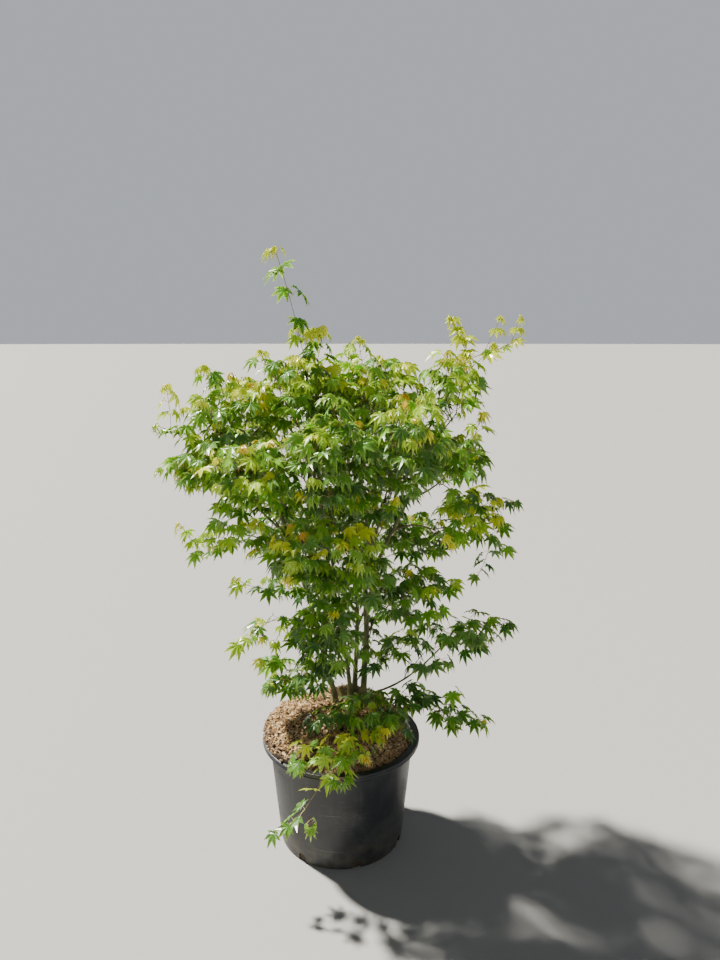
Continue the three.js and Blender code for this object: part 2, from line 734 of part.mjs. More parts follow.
const pot = take(makePot());
addPart('pot', pot, PLASTIC);
addPart('potting_mix', take(makeMix()), SOIL);
addPart('bark_mulch', take(makeHeap(pot)), CHIPS);

for (const [name, plan] of Object.entries(STEMS)) {
  addPart(name, take(makeStem(name, plan)), BARK);
}
for (const [name, plan] of Object.entries(BOUGHS)) {
  addPart(name, take(makeBough(name, plan)), BARK);
}
Object.entries(MASSES).forEach(([name, plan], index) => {
  addPart(name, take(makeMass(plan, SEED + index)), leafFinish(plan.middle[2]));
});

export default plant;
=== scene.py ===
# %% [markdown]
# A potted japanese maple, dressed over its plain model.
# The plain model gives the pot, the heap of bark chips, each stem and bough, and the space of each
# mass of leaves, all at their real size. It is loaded first and never changed. Each visible surface
# is then made again, finer and in the same place. The real plant grows in one order: stems, boughs,
# twigs, pairs of stalks, and a leaf of seven pointed lobes on each stalk. The lesson keeps that order.

# %% Load the frame
import json
import math

import bpy
import numpy as np
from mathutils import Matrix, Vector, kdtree

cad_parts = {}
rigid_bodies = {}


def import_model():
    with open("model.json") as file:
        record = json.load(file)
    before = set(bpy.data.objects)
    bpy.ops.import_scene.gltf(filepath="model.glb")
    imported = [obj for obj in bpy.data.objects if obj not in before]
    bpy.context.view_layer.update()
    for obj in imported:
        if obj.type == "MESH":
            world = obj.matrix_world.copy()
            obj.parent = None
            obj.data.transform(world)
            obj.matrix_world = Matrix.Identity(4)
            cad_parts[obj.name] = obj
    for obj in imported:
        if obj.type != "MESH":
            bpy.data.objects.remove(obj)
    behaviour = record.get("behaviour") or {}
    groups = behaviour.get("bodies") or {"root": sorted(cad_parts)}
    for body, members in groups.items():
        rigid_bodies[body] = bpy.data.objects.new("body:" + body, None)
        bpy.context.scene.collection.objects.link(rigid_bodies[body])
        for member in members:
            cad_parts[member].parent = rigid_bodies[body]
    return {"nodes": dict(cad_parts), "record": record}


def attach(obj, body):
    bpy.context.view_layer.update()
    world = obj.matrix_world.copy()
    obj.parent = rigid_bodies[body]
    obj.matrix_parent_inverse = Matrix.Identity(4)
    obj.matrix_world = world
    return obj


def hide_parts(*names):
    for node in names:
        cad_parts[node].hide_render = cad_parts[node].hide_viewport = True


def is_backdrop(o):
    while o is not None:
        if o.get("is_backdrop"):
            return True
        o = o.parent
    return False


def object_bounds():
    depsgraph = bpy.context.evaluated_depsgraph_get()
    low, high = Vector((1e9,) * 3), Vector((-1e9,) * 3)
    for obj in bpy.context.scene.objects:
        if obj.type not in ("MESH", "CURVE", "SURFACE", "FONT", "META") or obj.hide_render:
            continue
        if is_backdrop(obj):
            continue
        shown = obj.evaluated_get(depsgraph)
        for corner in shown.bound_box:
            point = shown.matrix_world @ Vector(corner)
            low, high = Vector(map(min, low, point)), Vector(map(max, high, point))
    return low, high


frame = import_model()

cad_box = [list(corner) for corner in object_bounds()]
bpy.ops.object.select_all(action="DESELECT")
print("plain model from", cad_box[0], "to", cad_box[1])

# %% [markdown]
# An operator acts on all that is selected, so a first helper selects one object and nothing else.
# Another one, dress, gives a finished piece its material and its body, and hides the plain nodes that it
# stands for. Loading leaves the plain model selected, which is why everything was deselected above.
# The same lines could be written out for each piece, but then a slip would hide among forty copies.

# %% Helpers for pieces
def only(piece):
    """Select one object and make it the active one."""
    bpy.ops.object.select_all(action="DESELECT")
    piece.select_set(True)
    bpy.context.view_layer.objects.active = piece


def named(name):
    """Name the object that an operator has just added."""
    piece = bpy.context.active_object
    piece.name = name
    piece.data.name = name
    return piece


def apply_modifier(piece, kind, **settings):
    """Add one modifier, set it and apply it."""
    only(piece)
    bpy.ops.object.modifier_add(type=kind)
    modifier = piece.modifiers[-1]
    for setting, value in settings.items():
        setattr(modifier, setting, value)
    bpy.ops.object.modifier_apply(modifier=modifier.name)


def dress(piece, material, slot, nodes=()):
    """Finish a piece, let it ride on the plant, and hide the plain nodes that it stands for."""
    piece.data.materials.clear()
    piece.data.materials.append(material)
    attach(piece, "root")
    if nodes:
        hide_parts(*nodes)
    print(piece.name, len(piece.data.polygons), "faces")


print(len(frame["nodes"]), "plain nodes to dress")

# %% [markdown]
# The pot is blown from black plastic: a wall that widens a little upwards, a broad rolled lip, and
# arched drainage notches at the foot. It is a turned form, so half of its section says it all. The
# outline goes from the foot up the outside, over the lip and down inside, as radius and height. Its
# flat stretches need a point at each end, and its round stretches are arcs.

# %% The pot's outline
POT_HEIGHT = 0.340
FOOT_RADIUS = 0.193
FOOT_ROUND = 0.004
NECK_RADIUS = 0.223
NECK_HEIGHT = 0.314
NECK_ROUND = 0.004
WALL_RINGS = (0.012, 0.03, 0.1, 0.2, 0.29)
LIP_RADIUS = 0.245
LIP_DEPTH = 0.017
LIP_UNDERSIDE = (0.008, 0.0005)
BEAD = 0.0034
CREST = 0.0045
CREST_SINK = 0.005
LIP_TOP = (0.012, 0.0012)
THROAT_FLARE = (0.007, 0.0006)
THROAT_ROUND = 0.004
THROAT_DEPTH = 0.006
INNER_RING = 0.15
WALL = 0.0032
BASE = 0.004


def wall_radius(height):
    """The wall's outer radius at a height."""
    return FOOT_RADIUS + (NECK_RADIUS - FOOT_RADIUS) * height / NECK_HEIGHT


def arc(middle, radius, start, end, steps):
    """Points of an arc, as radius and height, with its angles in degrees."""
    turns = np.radians(np.linspace(start, end, steps))
    return [(middle[0] + radius * math.cos(t), middle[1] + radius * math.sin(t)) for t in turns]


lip_foot = POT_HEIGHT - LIP_DEPTH
throat = wall_radius(NECK_HEIGHT) - WALL
outline = arc((FOOT_RADIUS - FOOT_ROUND, FOOT_ROUND), FOOT_ROUND, -70, 0, 4)
outline += [(wall_radius(height), height) for height in WALL_RINGS]
outline += arc((NECK_RADIUS + NECK_ROUND, NECK_HEIGHT - NECK_ROUND), NECK_ROUND, 180, 100, 4)
outline += [(LIP_RADIUS - LIP_UNDERSIDE[0], lip_foot - LIP_UNDERSIDE[1])]
outline += arc((LIP_RADIUS - BEAD, lip_foot + BEAD), BEAD, -90, 60, 6)
outline += arc((LIP_RADIUS - CREST, POT_HEIGHT - CREST_SINK), CREST, -20, 90, 7)
outline += [(LIP_RADIUS - LIP_TOP[0], POT_HEIGHT - LIP_TOP[1])]
outline += [(throat + THROAT_FLARE[0], POT_HEIGHT - THROAT_FLARE[1])]
outline += arc((throat + THROAT_ROUND, POT_HEIGHT - THROAT_DEPTH), THROAT_ROUND, 90, 180, 4)
outline += [(throat, NECK_HEIGHT), (wall_radius(INNER_RING) - WALL, INNER_RING)]
outline += [(wall_radius(BASE) - WALL, BASE)]
print("the pot's outline has", len(outline), "rings")

# %% [markdown]
# The outline could be spun into a pot, which leaves a seam and two poles to close. Here one disc, the
# pot's underside, is drawn up ring by ring instead: extrude moves the disc on, and resize gives it the
# ring's radius. The last ring is the floor inside, so the pot is closed all the way.

# %% Draw the pot up from a disc
POT_SIDES = 144

ring_radius = FOOT_RADIUS - FOOT_ROUND
ring_height = 0.0
bpy.ops.mesh.primitive_circle_add(
    vertices=POT_SIDES, radius=ring_radius, fill_type="TRIFAN", location=(0, 0, ring_height)
)
pot = named("nursery_pot")
bpy.ops.object.mode_set(mode="EDIT")
bpy.ops.mesh.select_all(action="SELECT")
for radius, height in outline:
    rise = (0, 0, height - ring_height)
    bpy.ops.mesh.extrude_region_move(TRANSFORM_OT_translate={"value": rise})
    bpy.ops.transform.resize(
        value=(radius / ring_radius, radius / ring_radius, 1), center_override=(0, 0, height)
    )
    ring_radius = radius
    ring_height = height
bpy.ops.mesh.select_all(action="SELECT")
bpy.ops.mesh.normals_make_consistent(inside=False)
bpy.ops.object.mode_set(mode="OBJECT")
print("pot", len(pot.data.vertices), "points")

# %% [markdown]
# Each notch is an upright arch cut through the wall at the foot, as the mould leaves it. One block is
# modelled, and a bevel rounds its two top edges to the arch. It is copied, a block is put at each
# place, all are joined, and one Boolean cuts with them. A wall drawn with its gaps would do too, but
# a cut is quicker to change.

# %% Cut the drainage notches
TINY = 1e-6
NOTCH_COUNT = 7
NOTCH_WIDTH = 0.026
NOTCH_TOP = 0.0268
NOTCH_TURN = 15
NOTCH_DEPTH = 0.040
NOTCH_UNDER = 0.006
NOTCH_MIDDLE = FOOT_RADIUS - 0.004
NOTCH_ROUND = NOTCH_WIDTH * 0.42
POT_CREASE = math.radians(32)


def copied(piece):
    """A copy of a piece with its own mesh."""
    copy = piece.copy()
    copy.data = piece.data.copy()
    bpy.context.scene.collection.objects.link(copy)
    return copy


tall = NOTCH_TOP + NOTCH_UNDER
bpy.ops.mesh.primitive_cube_add(size=1, location=(0, 0, 0))
block = named("notch")
bpy.ops.object.mode_set(mode="EDIT")
bpy.ops.mesh.select_all(action="SELECT")
bpy.ops.transform.resize(value=(NOTCH_DEPTH, NOTCH_WIDTH, tall))
bpy.ops.mesh.select_mode(type="EDGE")
bpy.ops.mesh.select_all(action="DESELECT")
bpy.ops.object.mode_set(mode="OBJECT")
for edge in block.data.edges:
    start, end = [block.data.vertices[v].co for v in edge.vertices]
    edge.select = min(start.z, end.z) > 0 and abs(start.y - end.y) < TINY
bpy.ops.object.mode_set(mode="EDIT")
bpy.ops.mesh.bevel(offset=NOTCH_ROUND, segments=5)
bpy.ops.object.mode_set(mode="OBJECT")

blocks = [*(copied(block) for _ in range(NOTCH_COUNT - 1)), block]
for i, cutter in enumerate(blocks):
    angle = math.radians(-90 + NOTCH_TURN + 360 * i / NOTCH_COUNT)
    cutter.rotation_euler.z = angle
    cutter.location.x = NOTCH_MIDDLE * math.cos(angle)
    cutter.location.y = NOTCH_MIDDLE * math.sin(angle)
    cutter.location.z = NOTCH_TOP - tall / 2
    cutter.select_set(True)
bpy.ops.object.transform_apply(location=True, rotation=True, scale=True)
bpy.ops.object.join()
apply_modifier(pot, "BOOLEAN", operation="DIFFERENCE", solver="EXACT", object=block)
bpy.data.objects.remove(block)
only(pot)
bpy.ops.object.shade_smooth_by_angle(angle=POT_CREASE)
print("pot with notches", len(pot.data.polygons), "faces")

# %% [markdown]
# A finish is a small tree of nodes. They could be placed by hand in the node editor, but a finish that
# is written down can be read, changed and used again. Four helpers build it: add makes a node with its
# inputs, plain starts a finish, lead joins a pattern to it, and bumped gives it relief.

# %% Helpers for finishes
def add(material, kind, inputs, **settings):
    """Add a shader node. An input may be a value or another node's output."""
    node = material.node_tree.nodes.new("ShaderNode" + kind)
    for setting, value in settings.items():
        setattr(node, setting, value)
    for name, value in inputs.items():
        if isinstance(value, bpy.types.NodeSocket):
            material.node_tree.links.new(value, node.inputs[name])
        else:
            node.inputs[name].default_value = value
    return node


def plain(name, colour, roughness):
    """A finish of one colour, which patterns may then be led into."""
    material = bpy.data.materials.new(name)
    material.use_nodes = True
    shader = material.node_tree.nodes["Principled BSDF"]
    shader.inputs["Base Color"].default_value = (*colour, 1)
    shader.inputs["Roughness"].default_value = roughness
    return material


def lead(material, output, socket):
    """Lead a pattern into the shader."""
    shader = material.node_tree.nodes["Principled BSDF"]
    material.node_tree.links.new(output, shader.inputs[socket])


def bumped(material, height, depth):
    """Relief of some metres' depth from a pattern."""
    bump = add(material, "Bump", {"Height": height, "Distance": depth})
    lead(material, bump.outputs["Normal"], "Normal")


print("helpers for a finish: add, plain, lead, bumped")

# %% [markdown]
# Patterns read Object coordinates, in metres, so a scale of 100 makes cells of a centimetre, and a
# stretch below one draws them out along that axis. Noise is the usual one. The helpers then turn it
# into shares, multiply them, and go from one colour to another by a share.

# %% Helpers for patterns
def place_on(material, axis=None):
    """Object coordinates, or one axis of them."""
    spot = add(material, "TexCoord", {}).outputs["Object"]
    if axis is None:
        return spot
    return add(material, "SeparateXYZ", {"Vector": spot}).outputs[axis]


def grain(material, scale, stretch=(1, 1, 1), detail=5):
    """Noise with some cells to the metre."""
    mapping = add(material, "Mapping", {"Vector": place_on(material), "Scale": stretch})
    inputs = {"Vector": mapping.outputs["Vector"], "Scale": scale, "Detail": detail}
    return add(material, "TexNoise", inputs).outputs["Fac"]


def between(material, value, low, high, start=0.0, end=1.0):
    """Turn the stretch of a value from low to high into a share from start to end."""
    inputs = {"Value": value, "From Min": low, "From Max": high, "To Min": start, "To Max": end}
    return add(material, "MapRange", inputs, interpolation_type="SMOOTHSTEP").outputs["Result"]


def times(material, first, second):
    """The product of two shares."""
    node = add(material, "Math", {}, operation="MULTIPLY")
    for socket, value in zip(node.inputs, (first, second)):
        if isinstance(value, bpy.types.NodeSocket):
            material.node_tree.links.new(value, socket)
        else:
            socket.default_value = value
    return node.outputs["Value"]


def tinted(material, share, first, second):
    """Go from a first colour to a second one by a share."""
    colours = [c if isinstance(c, bpy.types.NodeSocket) else (*c, 1) for c in (first, second)]
    inputs = {"Fac": share, "Color1": colours[0], "Color2": colours[1]}
    return add(material, "MixRGB", inputs).outputs["Color"]


print("helpers for a pattern: place_on, grain, between, times, tinted")

# %% [markdown]
# Black plastic that has stood outdoors is seldom black. Dust greys it, rain draws the dust down in
# streaks, handling scratches it, and mud splashes up from the ground. A photograph could be laid on
# it, but noise patterns have no seam and no lettering. Each pattern pulls the colour one way, and the
# dust makes the surface duller too.

# %% Finish of the pot
PLASTIC = (0.02, 0.021, 0.024)
CLEAN_BLACK = (0.018, 0.02, 0.024)
DUST_GREY = (0.13, 0.13, 0.12)
STREAK_GREY = (0.17, 0.165, 0.155)
MUD_BROWN = (0.13, 0.115, 0.07)
SCRATCH_GREY = (0.2, 0.2, 0.2)
MUD_HEIGHT = 0.13

plastic = plain("pot_plastic", PLASTIC, 0.4)
cloudy = between(plastic, grain(plastic, 9, detail=8), 0.42, 0.72)
dust = times(plastic, cloudy, between(plastic, grain(plastic, 160, detail=6), 0.3, 0.62, 0.25, 1))
colour = tinted(plastic, times(plastic, dust, 0.36), CLEAN_BLACK, DUST_GREY)
streaks = between(plastic, grain(plastic, 60, (1, 1, 0.06), 4), 0.5, 0.75)
colour = tinted(plastic, times(plastic, streaks, 0.1), colour, STREAK_GREY)
low_down = between(plastic, place_on(plastic, "Z"), 0.0, MUD_HEIGHT, 1, 0)
mud = times(plastic, low_down, between(plastic, grain(plastic, 26, detail=9), 0.3, 0.75))
colour = tinted(plastic, times(plastic, mud, 0.6), colour, MUD_BROWN)
scratch = between(plastic, grain(plastic, 240, (0.05, 0.05, 1), 3), 0.66, 0.74)
colour = tinted(plastic, times(plastic, scratch, 0.35), colour, SCRATCH_GREY)
lead(plastic, colour, "Base Color")
lead(plastic, between(plastic, dust, 0, 1, 0.42, 0.66), "Roughness")
bumped(plastic, grain(plastic, 700, detail=4), 0.00012)
dress(pot, plastic, "pot_plastic", ["pot"])

# %% [markdown]
# Damp potting mix fills the pot and shows only through the notches. It could be modelled again, but
# its plain solid has the right shape, so it stays and just gets a crumbly finish.

# %% Finish of the potting mix
def crumbly(name, colour, dark, light, scale):
    """A damp, crumbly finish between a dark and a light colour."""
    material = plain(name, colour, 0.95)
    crumbs = grain(material, scale, detail=8)
    lead(material, tinted(material, between(material, crumbs, 0.35, 0.65), dark, light), "Base Color")
    bumped(material, crumbs, 0.003)
    return material


soil = crumbly("potting_mix", (0.07, 0.045, 0.03), (0.03, 0.02, 0.014), (0.13, 0.085, 0.05), 260)
slots = frame["nodes"]["potting_mix"].material_slots
for slot in slots:
    slot.material = soil
print("potting_mix", len(slots), "finish")

# %% [markdown]
# The heap of bark chips is highest round the stems and spills over the lip on the left. Sculpting
# would give one such heap, and a rule gives one that can be asked: how high is it here? The bed, the
# chips and the leaves, which keep clear of it, all ask the same rule.

# %% The heap's rule
GAP = 0.0003
MIX_HEIGHT = 0.300
GROUND = 0.408
CLUMP = np.array([0.025, 0.085])
PLATEAU = 0.070
HEAP_LOW = POT_HEIGHT - 0.005
HEAP_HIGH = POT_HEIGHT + 0.025
HEAP_SPILL = 0.242
SPILL_FROM = 0.040
SPILL_TO = 0.200
HEAP_CROWNING = 1.25
HEAP_STEEPNESS = 1.12
HEAP_SECTORS = 72
HEAP_RINGS = 40
HEAP_MIDDLE = 0.02


def smoothstep(value, low, high):
    """A share that goes from 0 to 1 between two values, slowly at both ends."""
    share = np.clip((value - low) / (high - low), 0, 1)
    return share * share * (3 - 2 * share)


def heap(share, angle):
    """The heap's surface at a share of the way from the clump to the rim."""
    left = smoothstep(-np.cos(angle) * NECK_RADIUS, SPILL_FROM, SPILL_TO)
    inside = throat - 4 * GAP
    reach = inside + (HEAP_SPILL - inside) * left
    rim = HEAP_LOW + (HEAP_HIGH - HEAP_LOW) * left
    edge = np.stack([np.cos(angle) * reach, np.sin(angle) * reach], axis=-1)
    out = np.linalg.norm(edge - CLUMP, axis=-1)
    fall = np.clip((share * out - PLATEAU) / (out * HEAP_CROWNING - PLATEAU), 0, 1)
    fall = fall ** 3 * (fall * (fall * 6 - 15) + 10)
    top = GROUND + (rim - GROUND) * np.minimum(1, fall * HEAP_STEEPNESS)
    flat = CLUMP + (edge - CLUMP) * np.asarray(share)[..., None]
    return np.concatenate([flat, top[..., None]], axis=-1)


around = np.linspace(0, 2 * math.pi, HEAP_SECTORS, endpoint=False)
grids = np.meshgrid(np.linspace(HEAP_MIDDLE, 1, HEAP_RINGS), around)
samples = heap(*[grid.ravel() for grid in grids])
heap_tree = kdtree.KDTree(len(samples))
for i, sample in enumerate(samples):
    heap_tree.insert((sample[0], sample[1], 0), i)
heap_tree.balance()


def heap_height(x, y):
    """Height of the heap above a place, from its nearest sample."""
    return samples[heap_tree.find((x, y, 0))[1]][2]


print("the heap rises to", round(float(samples[:, 2].max()), 4))

# %% [markdown]
# Between the chips shows a bed of damp crumbs, darkened further as painted shade in the gaps between the
# chips. A grid would need trimming to the round rim, so the bed starts as a disc. It is drawn down for
# depth and inset ring by ring for resolution, each point takes its height from the heap's rule, and a
# Displace modifier makes it uneven.

# %% Model the bed
BED_SIDES = 96
BED_RINGS = 26
BED_UNDER = 0.006
CRUMB_SIZE = 0.02
CRUMB_DEPTH = 0.006

bpy.ops.mesh.primitive_circle_add(vertices=BED_SIDES, radius=1, fill_type="NGON", location=(0, 0, 0))
bed = named("mulch_bed")
bpy.ops.object.mode_set(mode="EDIT")
bpy.ops.mesh.select_all(action="SELECT")
bpy.ops.mesh.extrude_region_move(TRANSFORM_OT_translate={"value": (0, 0, 1)})
for _ in range(BED_RINGS):
    bpy.ops.mesh.inset(thickness=1 / (BED_RINGS + 1))
bpy.ops.mesh.select_all(action="SELECT")
bpy.ops.mesh.normals_make_consistent(inside=False)
bpy.ops.object.mode_set(mode="OBJECT")
for vertex in bed.data.vertices:
    share = math.hypot(vertex.co.x, vertex.co.y)
    spot = heap(share, math.atan2(vertex.co.y, vertex.co.x))
    over_lip = math.hypot(spot[0], spot[1]) > throat - GAP
    low = POT_HEIGHT + GAP if over_lip else MIX_HEIGHT + GAP
    vertex.co = (spot[0], spot[1], spot[2] - BED_UNDER if vertex.co.z > 0.5 else low)
apply_modifier(bed, "TRIANGULATE")
crumble = bpy.data.textures.new("crumble", type="CLOUDS")
crumble.noise_scale = CRUMB_SIZE
apply_modifier(bed, "DISPLACE", texture=crumble, strength=CRUMB_DEPTH, direction="Z", mid_level=0.5)
# The bed's colour is the crumbs' own dark brown, darkened further as painted shade in the gaps between the
# chips.
peat_and_gap_shade = crumbly("mulch_bed", (0.06, 0.04, 0.025), (0.025, 0.017, 0.011), (0.12, 0.08, 0.05), 300)
dress(bed, peat_and_gap_shade, "bark_chips", ["bark_mulch"])

# %% [markdown]
# Bark chips are split, not sawn: flat slivers about a centimetre long with ragged, thinner ends.
# Copies of one modelled chip would look alike, so all are made at once, as arrays. First come their
# places on the bed, evenly over its area. Chips that spill over the lip drop part of the way to it.

# %% Strew the chips
CHIP_COUNT = 13000
CHIP_SEED = 19
CHIP_LIFT = (-0.006, 0.0025)
SLOPE_BACK = 0.02
SLOPE_AHEAD = 0.001
SPILL_SHARE = 0.955
SPILL_ABOVE = 0.006
SPILL_REST = 0.003

dice = np.random.default_rng(CHIP_SEED)
shares = np.sqrt(dice.uniform(0.0, 1.0, CHIP_COUNT))
angles = dice.uniform(0, 2 * math.pi, CHIP_COUNT)
chip_spots = heap(shares, angles)
slope = heap(np.maximum(shares - SLOPE_BACK, 0.0), angles) - heap(shares + SLOPE_AHEAD, angles)
slope /= np.linalg.norm(slope, axis=1, keepdims=True)
level = np.stack([-np.sin(angles), np.cos(angles), np.zeros(CHIP_COUNT)], axis=1)
upward = np.cross(level, slope)
upward *= np.sign(upward[:, 2:3])
upward /= np.linalg.norm(upward, axis=1, keepdims=True)
chip_spots[:, 2] += dice.uniform(*CHIP_LIFT, CHIP_COUNT)
spilled = (shares > SPILL_SHARE) & (chip_spots[:, 2] > POT_HEIGHT + SPILL_ABOVE)
drop = dice.uniform(0, 1, CHIP_COUNT) * (chip_spots[:, 2] - POT_HEIGHT - SPILL_REST)
chip_spots[spilled, 2] -= drop[spilled]
print(CHIP_COUNT, "chips,", int(spilled.sum()), "of them over the lip")

# %% [markdown]
# A box of eight corners is enough for one chip if every corner strays a little and each end tapers by
# itself. Most chips are short and a few are long. Each is turned any way on the slope and tilted off it.

# %% Shape the chips
CHIP_LONG = (0.005, 0.024)
CHIP_MOSTLY_SHORT = (1.6, 3.2)
CHIP_SLENDER = (0.22, 0.6)
CHIP_THICK = (0.001, 0.003)
CHIP_TAPER = (0.3, 1.0)
CHIP_RAGGED = 0.16
CHIP_TILT = 0.6
CORNERS = np.array([[x, y, z] for x in (-1, 1) for y in (-1, 1) for z in (-1, 1)], dtype=float)

longs = CHIP_LONG[0] + (CHIP_LONG[1] - CHIP_LONG[0]) * dice.beta(*CHIP_MOSTLY_SHORT, CHIP_COUNT)
wides = longs * dice.uniform(*CHIP_SLENDER, CHIP_COUNT)
thicks = dice.uniform(*CHIP_THICK, CHIP_COUNT)
halves = np.stack([longs, wides, thicks], axis=1) / 2
shapes = CORNERS[None] * halves[:, None]
taper = dice.uniform(*CHIP_TAPER, (CHIP_COUNT, 2))
shapes[:, :4, 1:] *= taper[:, 0, None, None]
shapes[:, 4:, 1:] *= taper[:, 1, None, None]
shapes += dice.normal(0, CHIP_RAGGED, shapes.shape) * halves[:, None]


def chip_frames(ahead, up):
    """Axes of chips that lie on a slope, turned any way and tilted off it."""
    turn = dice.uniform(0, 2 * math.pi, len(up))
    side = np.cross(up, ahead)
    along = ahead * np.cos(turn)[:, None] + side * np.sin(turn)[:, None]
    along += up * dice.normal(0, CHIP_TILT, len(up))[:, None]
    along /= np.linalg.norm(along, axis=1, keepdims=True)
    across = np.cross(up + dice.normal(0, CHIP_TILT, up.shape), along)
    across /= np.linalg.norm(across, axis=1, keepdims=True)
    return np.stack([along, across, np.cross(along, across)], axis=1)


chips = chip_spots[:, None] + shapes @ chip_frames(slope, upward)
print("chips from", chips.min(axis=(0, 1)), "to", chips.max(axis=(0, 1)))

# %% [markdown]
# Fresh chips are pale, old and damp ones dark, and the photograph shows them well mixed. So four tints
# are dealt out at random, the chips of one tint become one mesh, and a fine noise adds the wood's grain.

# %% Join the chips by tint
CHIP_TINTS = {
    "chips_pale": ((0.68, 0.5, 0.285), 0.3),
    "chips_tan": ((0.53, 0.345, 0.17), 0.38),
    "chips_brown": ((0.3, 0.18, 0.085), 0.22),
    "chips_dark": ((0.09, 0.058, 0.034), 0.1),
}
CHIP_DARKER = 0.62
CHIP_LIGHTER = 1.25
BOX_FACES = np.array([[0, 1, 3, 2], [4, 6, 7, 5], [0, 4, 5, 1], [2, 3, 7, 6], [0, 2, 6, 4], [1, 5, 7, 3]])


def joined(name, points, faces):
    """Many small shapes as one mesh, from arrays of their points and faces."""
    mesh = bpy.data.meshes.new(name)
    mesh.from_pydata(points, [], faces)
    mesh.update()
    piece = bpy.data.objects.new(name, mesh)
    bpy.context.scene.collection.objects.link(piece)
    return piece


kinds = dice.choice(len(CHIP_TINTS), CHIP_COUNT, p=[share for _, share in CHIP_TINTS.values()])
for kind, (name, (colour, _)) in enumerate(CHIP_TINTS.items()):
    chosen = chips[kinds == kind]
    faces = BOX_FACES[None] + len(CORNERS) * np.arange(len(chosen))[:, None, None]
    piece = joined(name, chosen.reshape(-1, 3).tolist(), faces.reshape(-1, 4).tolist())
    wood = plain(name, colour, 0.85)
    darker = [CHIP_DARKER * value for value in colour]
    lighter = [min(1, CHIP_LIGHTER * value) for value in colour]
    fibre = grain(wood, 420, detail=6)
    lead(wood, tinted(wood, between(wood, fibre, 0.36, 0.64), darker, lighter), "Base Color")
    bumped(wood, fibre, 0.0008)
    dress(piece, wood, "bark_chips", ["bark_mulch"])

# %% [markdown]
# Four slender stems rise from the heap beside the stump of an old one, and boughs leave them for each
# mass of leaves. A stem is given by its foot, the places that it passes, and its tip. A bough is given
# by its parent, the share of the parent's length where it starts, its tip, its radius there and its
# rise off the straight way. These are the sizes of the plain model, in metres.

# %% Sizes of the stems and boughs
STEMS = {
    "stem_right": {
        "foot": (0.070, 0.080), "girth": 0.0098, "tip": (0.052, 0.105, 1.187),
        "way": [(0.079, 0.080, 0.641), (0.076, 0.080, 0.811),
                (0.084, 0.090, 0.938), (0.071, 0.100, 1.064)],
    },
    "stem_middle": {
        "foot": (0.028, 0.078), "girth": 0.007, "tip": (-0.062, 0.030, 1.150),
        "way": [(0.006, 0.080, 0.624), (-0.016, 0.060, 0.753),
                (-0.039, 0.040, 0.889), (-0.052, 0.030, 1.020)],
    },
    "stem_left": {
        "foot": (-0.022, 0.062), "girth": 0.0074, "tip": (-0.237, 0.060, 1.134),
        "way": [(-0.054, 0.060, 0.562), (-0.097, 0.060, 0.756),
                (-0.133, 0.060, 0.883), (-0.179, 0.060, 1.010)],
    },
    "stem_back": {
        "foot": (0.042, 0.128), "girth": 0.008, "tip": (0.018, 0.292, 1.165),
        "way": [(0.050, 0.165, 0.640), (0.045, 0.220, 0.850), (0.032, 0.262, 1.010)],
    },
    "cut_stub": {
        "foot": (0.002, 0.096), "girth": 0.010, "tip": (-0.006, 0.098, 0.442), "way": [],
    },
}
BOUGHS = {
    "bough_right": ("stem_right", 0.5, (0.262, 0.080, 1.185), 0.0066, 0.004),
    "bough_right_side": ("bough_right", 0.72, (0.296, 0.025, 1.135), 0.0038, -0.008),
    "bough_right_tier": ("bough_right", 0.45, (0.268, 0.062, 0.985), 0.004, 0.014),
    "bough_right_inner": ("stem_right", 0.3, (0.158, 0.096, 0.728), 0.0036, 0.008),
    "bough_low_right": ("stem_right", 0.045, (0.346, 0.098, 0.612), 0.0036, -0.042),
    "bough_lowest_right": ("stem_right", 0.03, (0.252, 0.012, 0.418), 0.0032, 0.010),
    "bough_front_right": ("stem_right", 0.6, (0.132, -0.078, 1.115), 0.0046, -0.012),
    "bough_front_hang": ("stem_middle", 0.04, (-0.028, -0.178, 0.412), 0.0032, 0.022),
    "bough_base_front": ("stem_middle", 0.03, (0.092, -0.042, 0.430), 0.003, 0.010),
    "bough_low_centre": ("stem_middle", 0.2, (-0.004, 0.008, 0.606), 0.0032, 0.004),
    "bough_middle_front": ("stem_middle", 0.4, (-0.022, -0.068, 0.850), 0.0042, -0.012),
    "bough_front": ("stem_middle", 0.66, (-0.018, -0.112, 1.095), 0.0046, -0.016),
    "bough_leader": ("stem_middle", 0.84, (-0.104, 0.052, 1.496), 0.0048, 0),
    "bough_low_left_inner": ("stem_left", 0.16, (-0.122, 0.016, 0.556), 0.003, 0.006),
    "bough_low_left": ("stem_left", 0.34, (-0.158, 0.020, 0.706), 0.0036, 0.008),
    "bough_left_fronds": ("stem_left", 0.56, (-0.212, 0.008, 0.948), 0.0038, 0.012),
    "bough_front_left": ("stem_left", 0.48, (-0.158, -0.108, 1.060), 0.0044, -0.022),
    "bough_left": ("stem_left", 0.76, (-0.282, 0.006, 1.105), 0.0042, -0.008),
    "bough_back_low_right": ("stem_back", 0.3, (0.132, 0.288, 0.800), 0.004, -0.014),
    "bough_back_low_left": ("stem_back", 0.36, (-0.052, 0.272, 0.820), 0.004, -0.014),
    "bough_back_right": ("stem_back", 0.52, (0.168, 0.302, 1.050), 0.0046, -0.014),
    "bough_back_left": ("stem_back", 0.6, (-0.122, 0.292, 1.080), 0.0046, -0.014),
}
print(len(STEMS), "stems and", len(BOUGHS), "boughs")

# %% [markdown]
# A drawn curve object could carry each limb. Its line is worked out here in rows of places instead,
# because the boughs, the twigs and the leaves all need to know where the limbs run. Stems bend
# smoothly through their places and flare at the foot, and boughs follow a simple arch.

# %% Lines of the limbs
STEM_FOOT = 0.020
FLARE = 0.7
FLARE_HEIGHT = 0.022
TIP_SHARE = 0.55
RING_STEP = 0.0034
STEM_FINESSE = 30
BOUGH_FINESSE = 80


def length(vector):
    """The length of a vector."""
    return float(np.linalg.norm(vector))


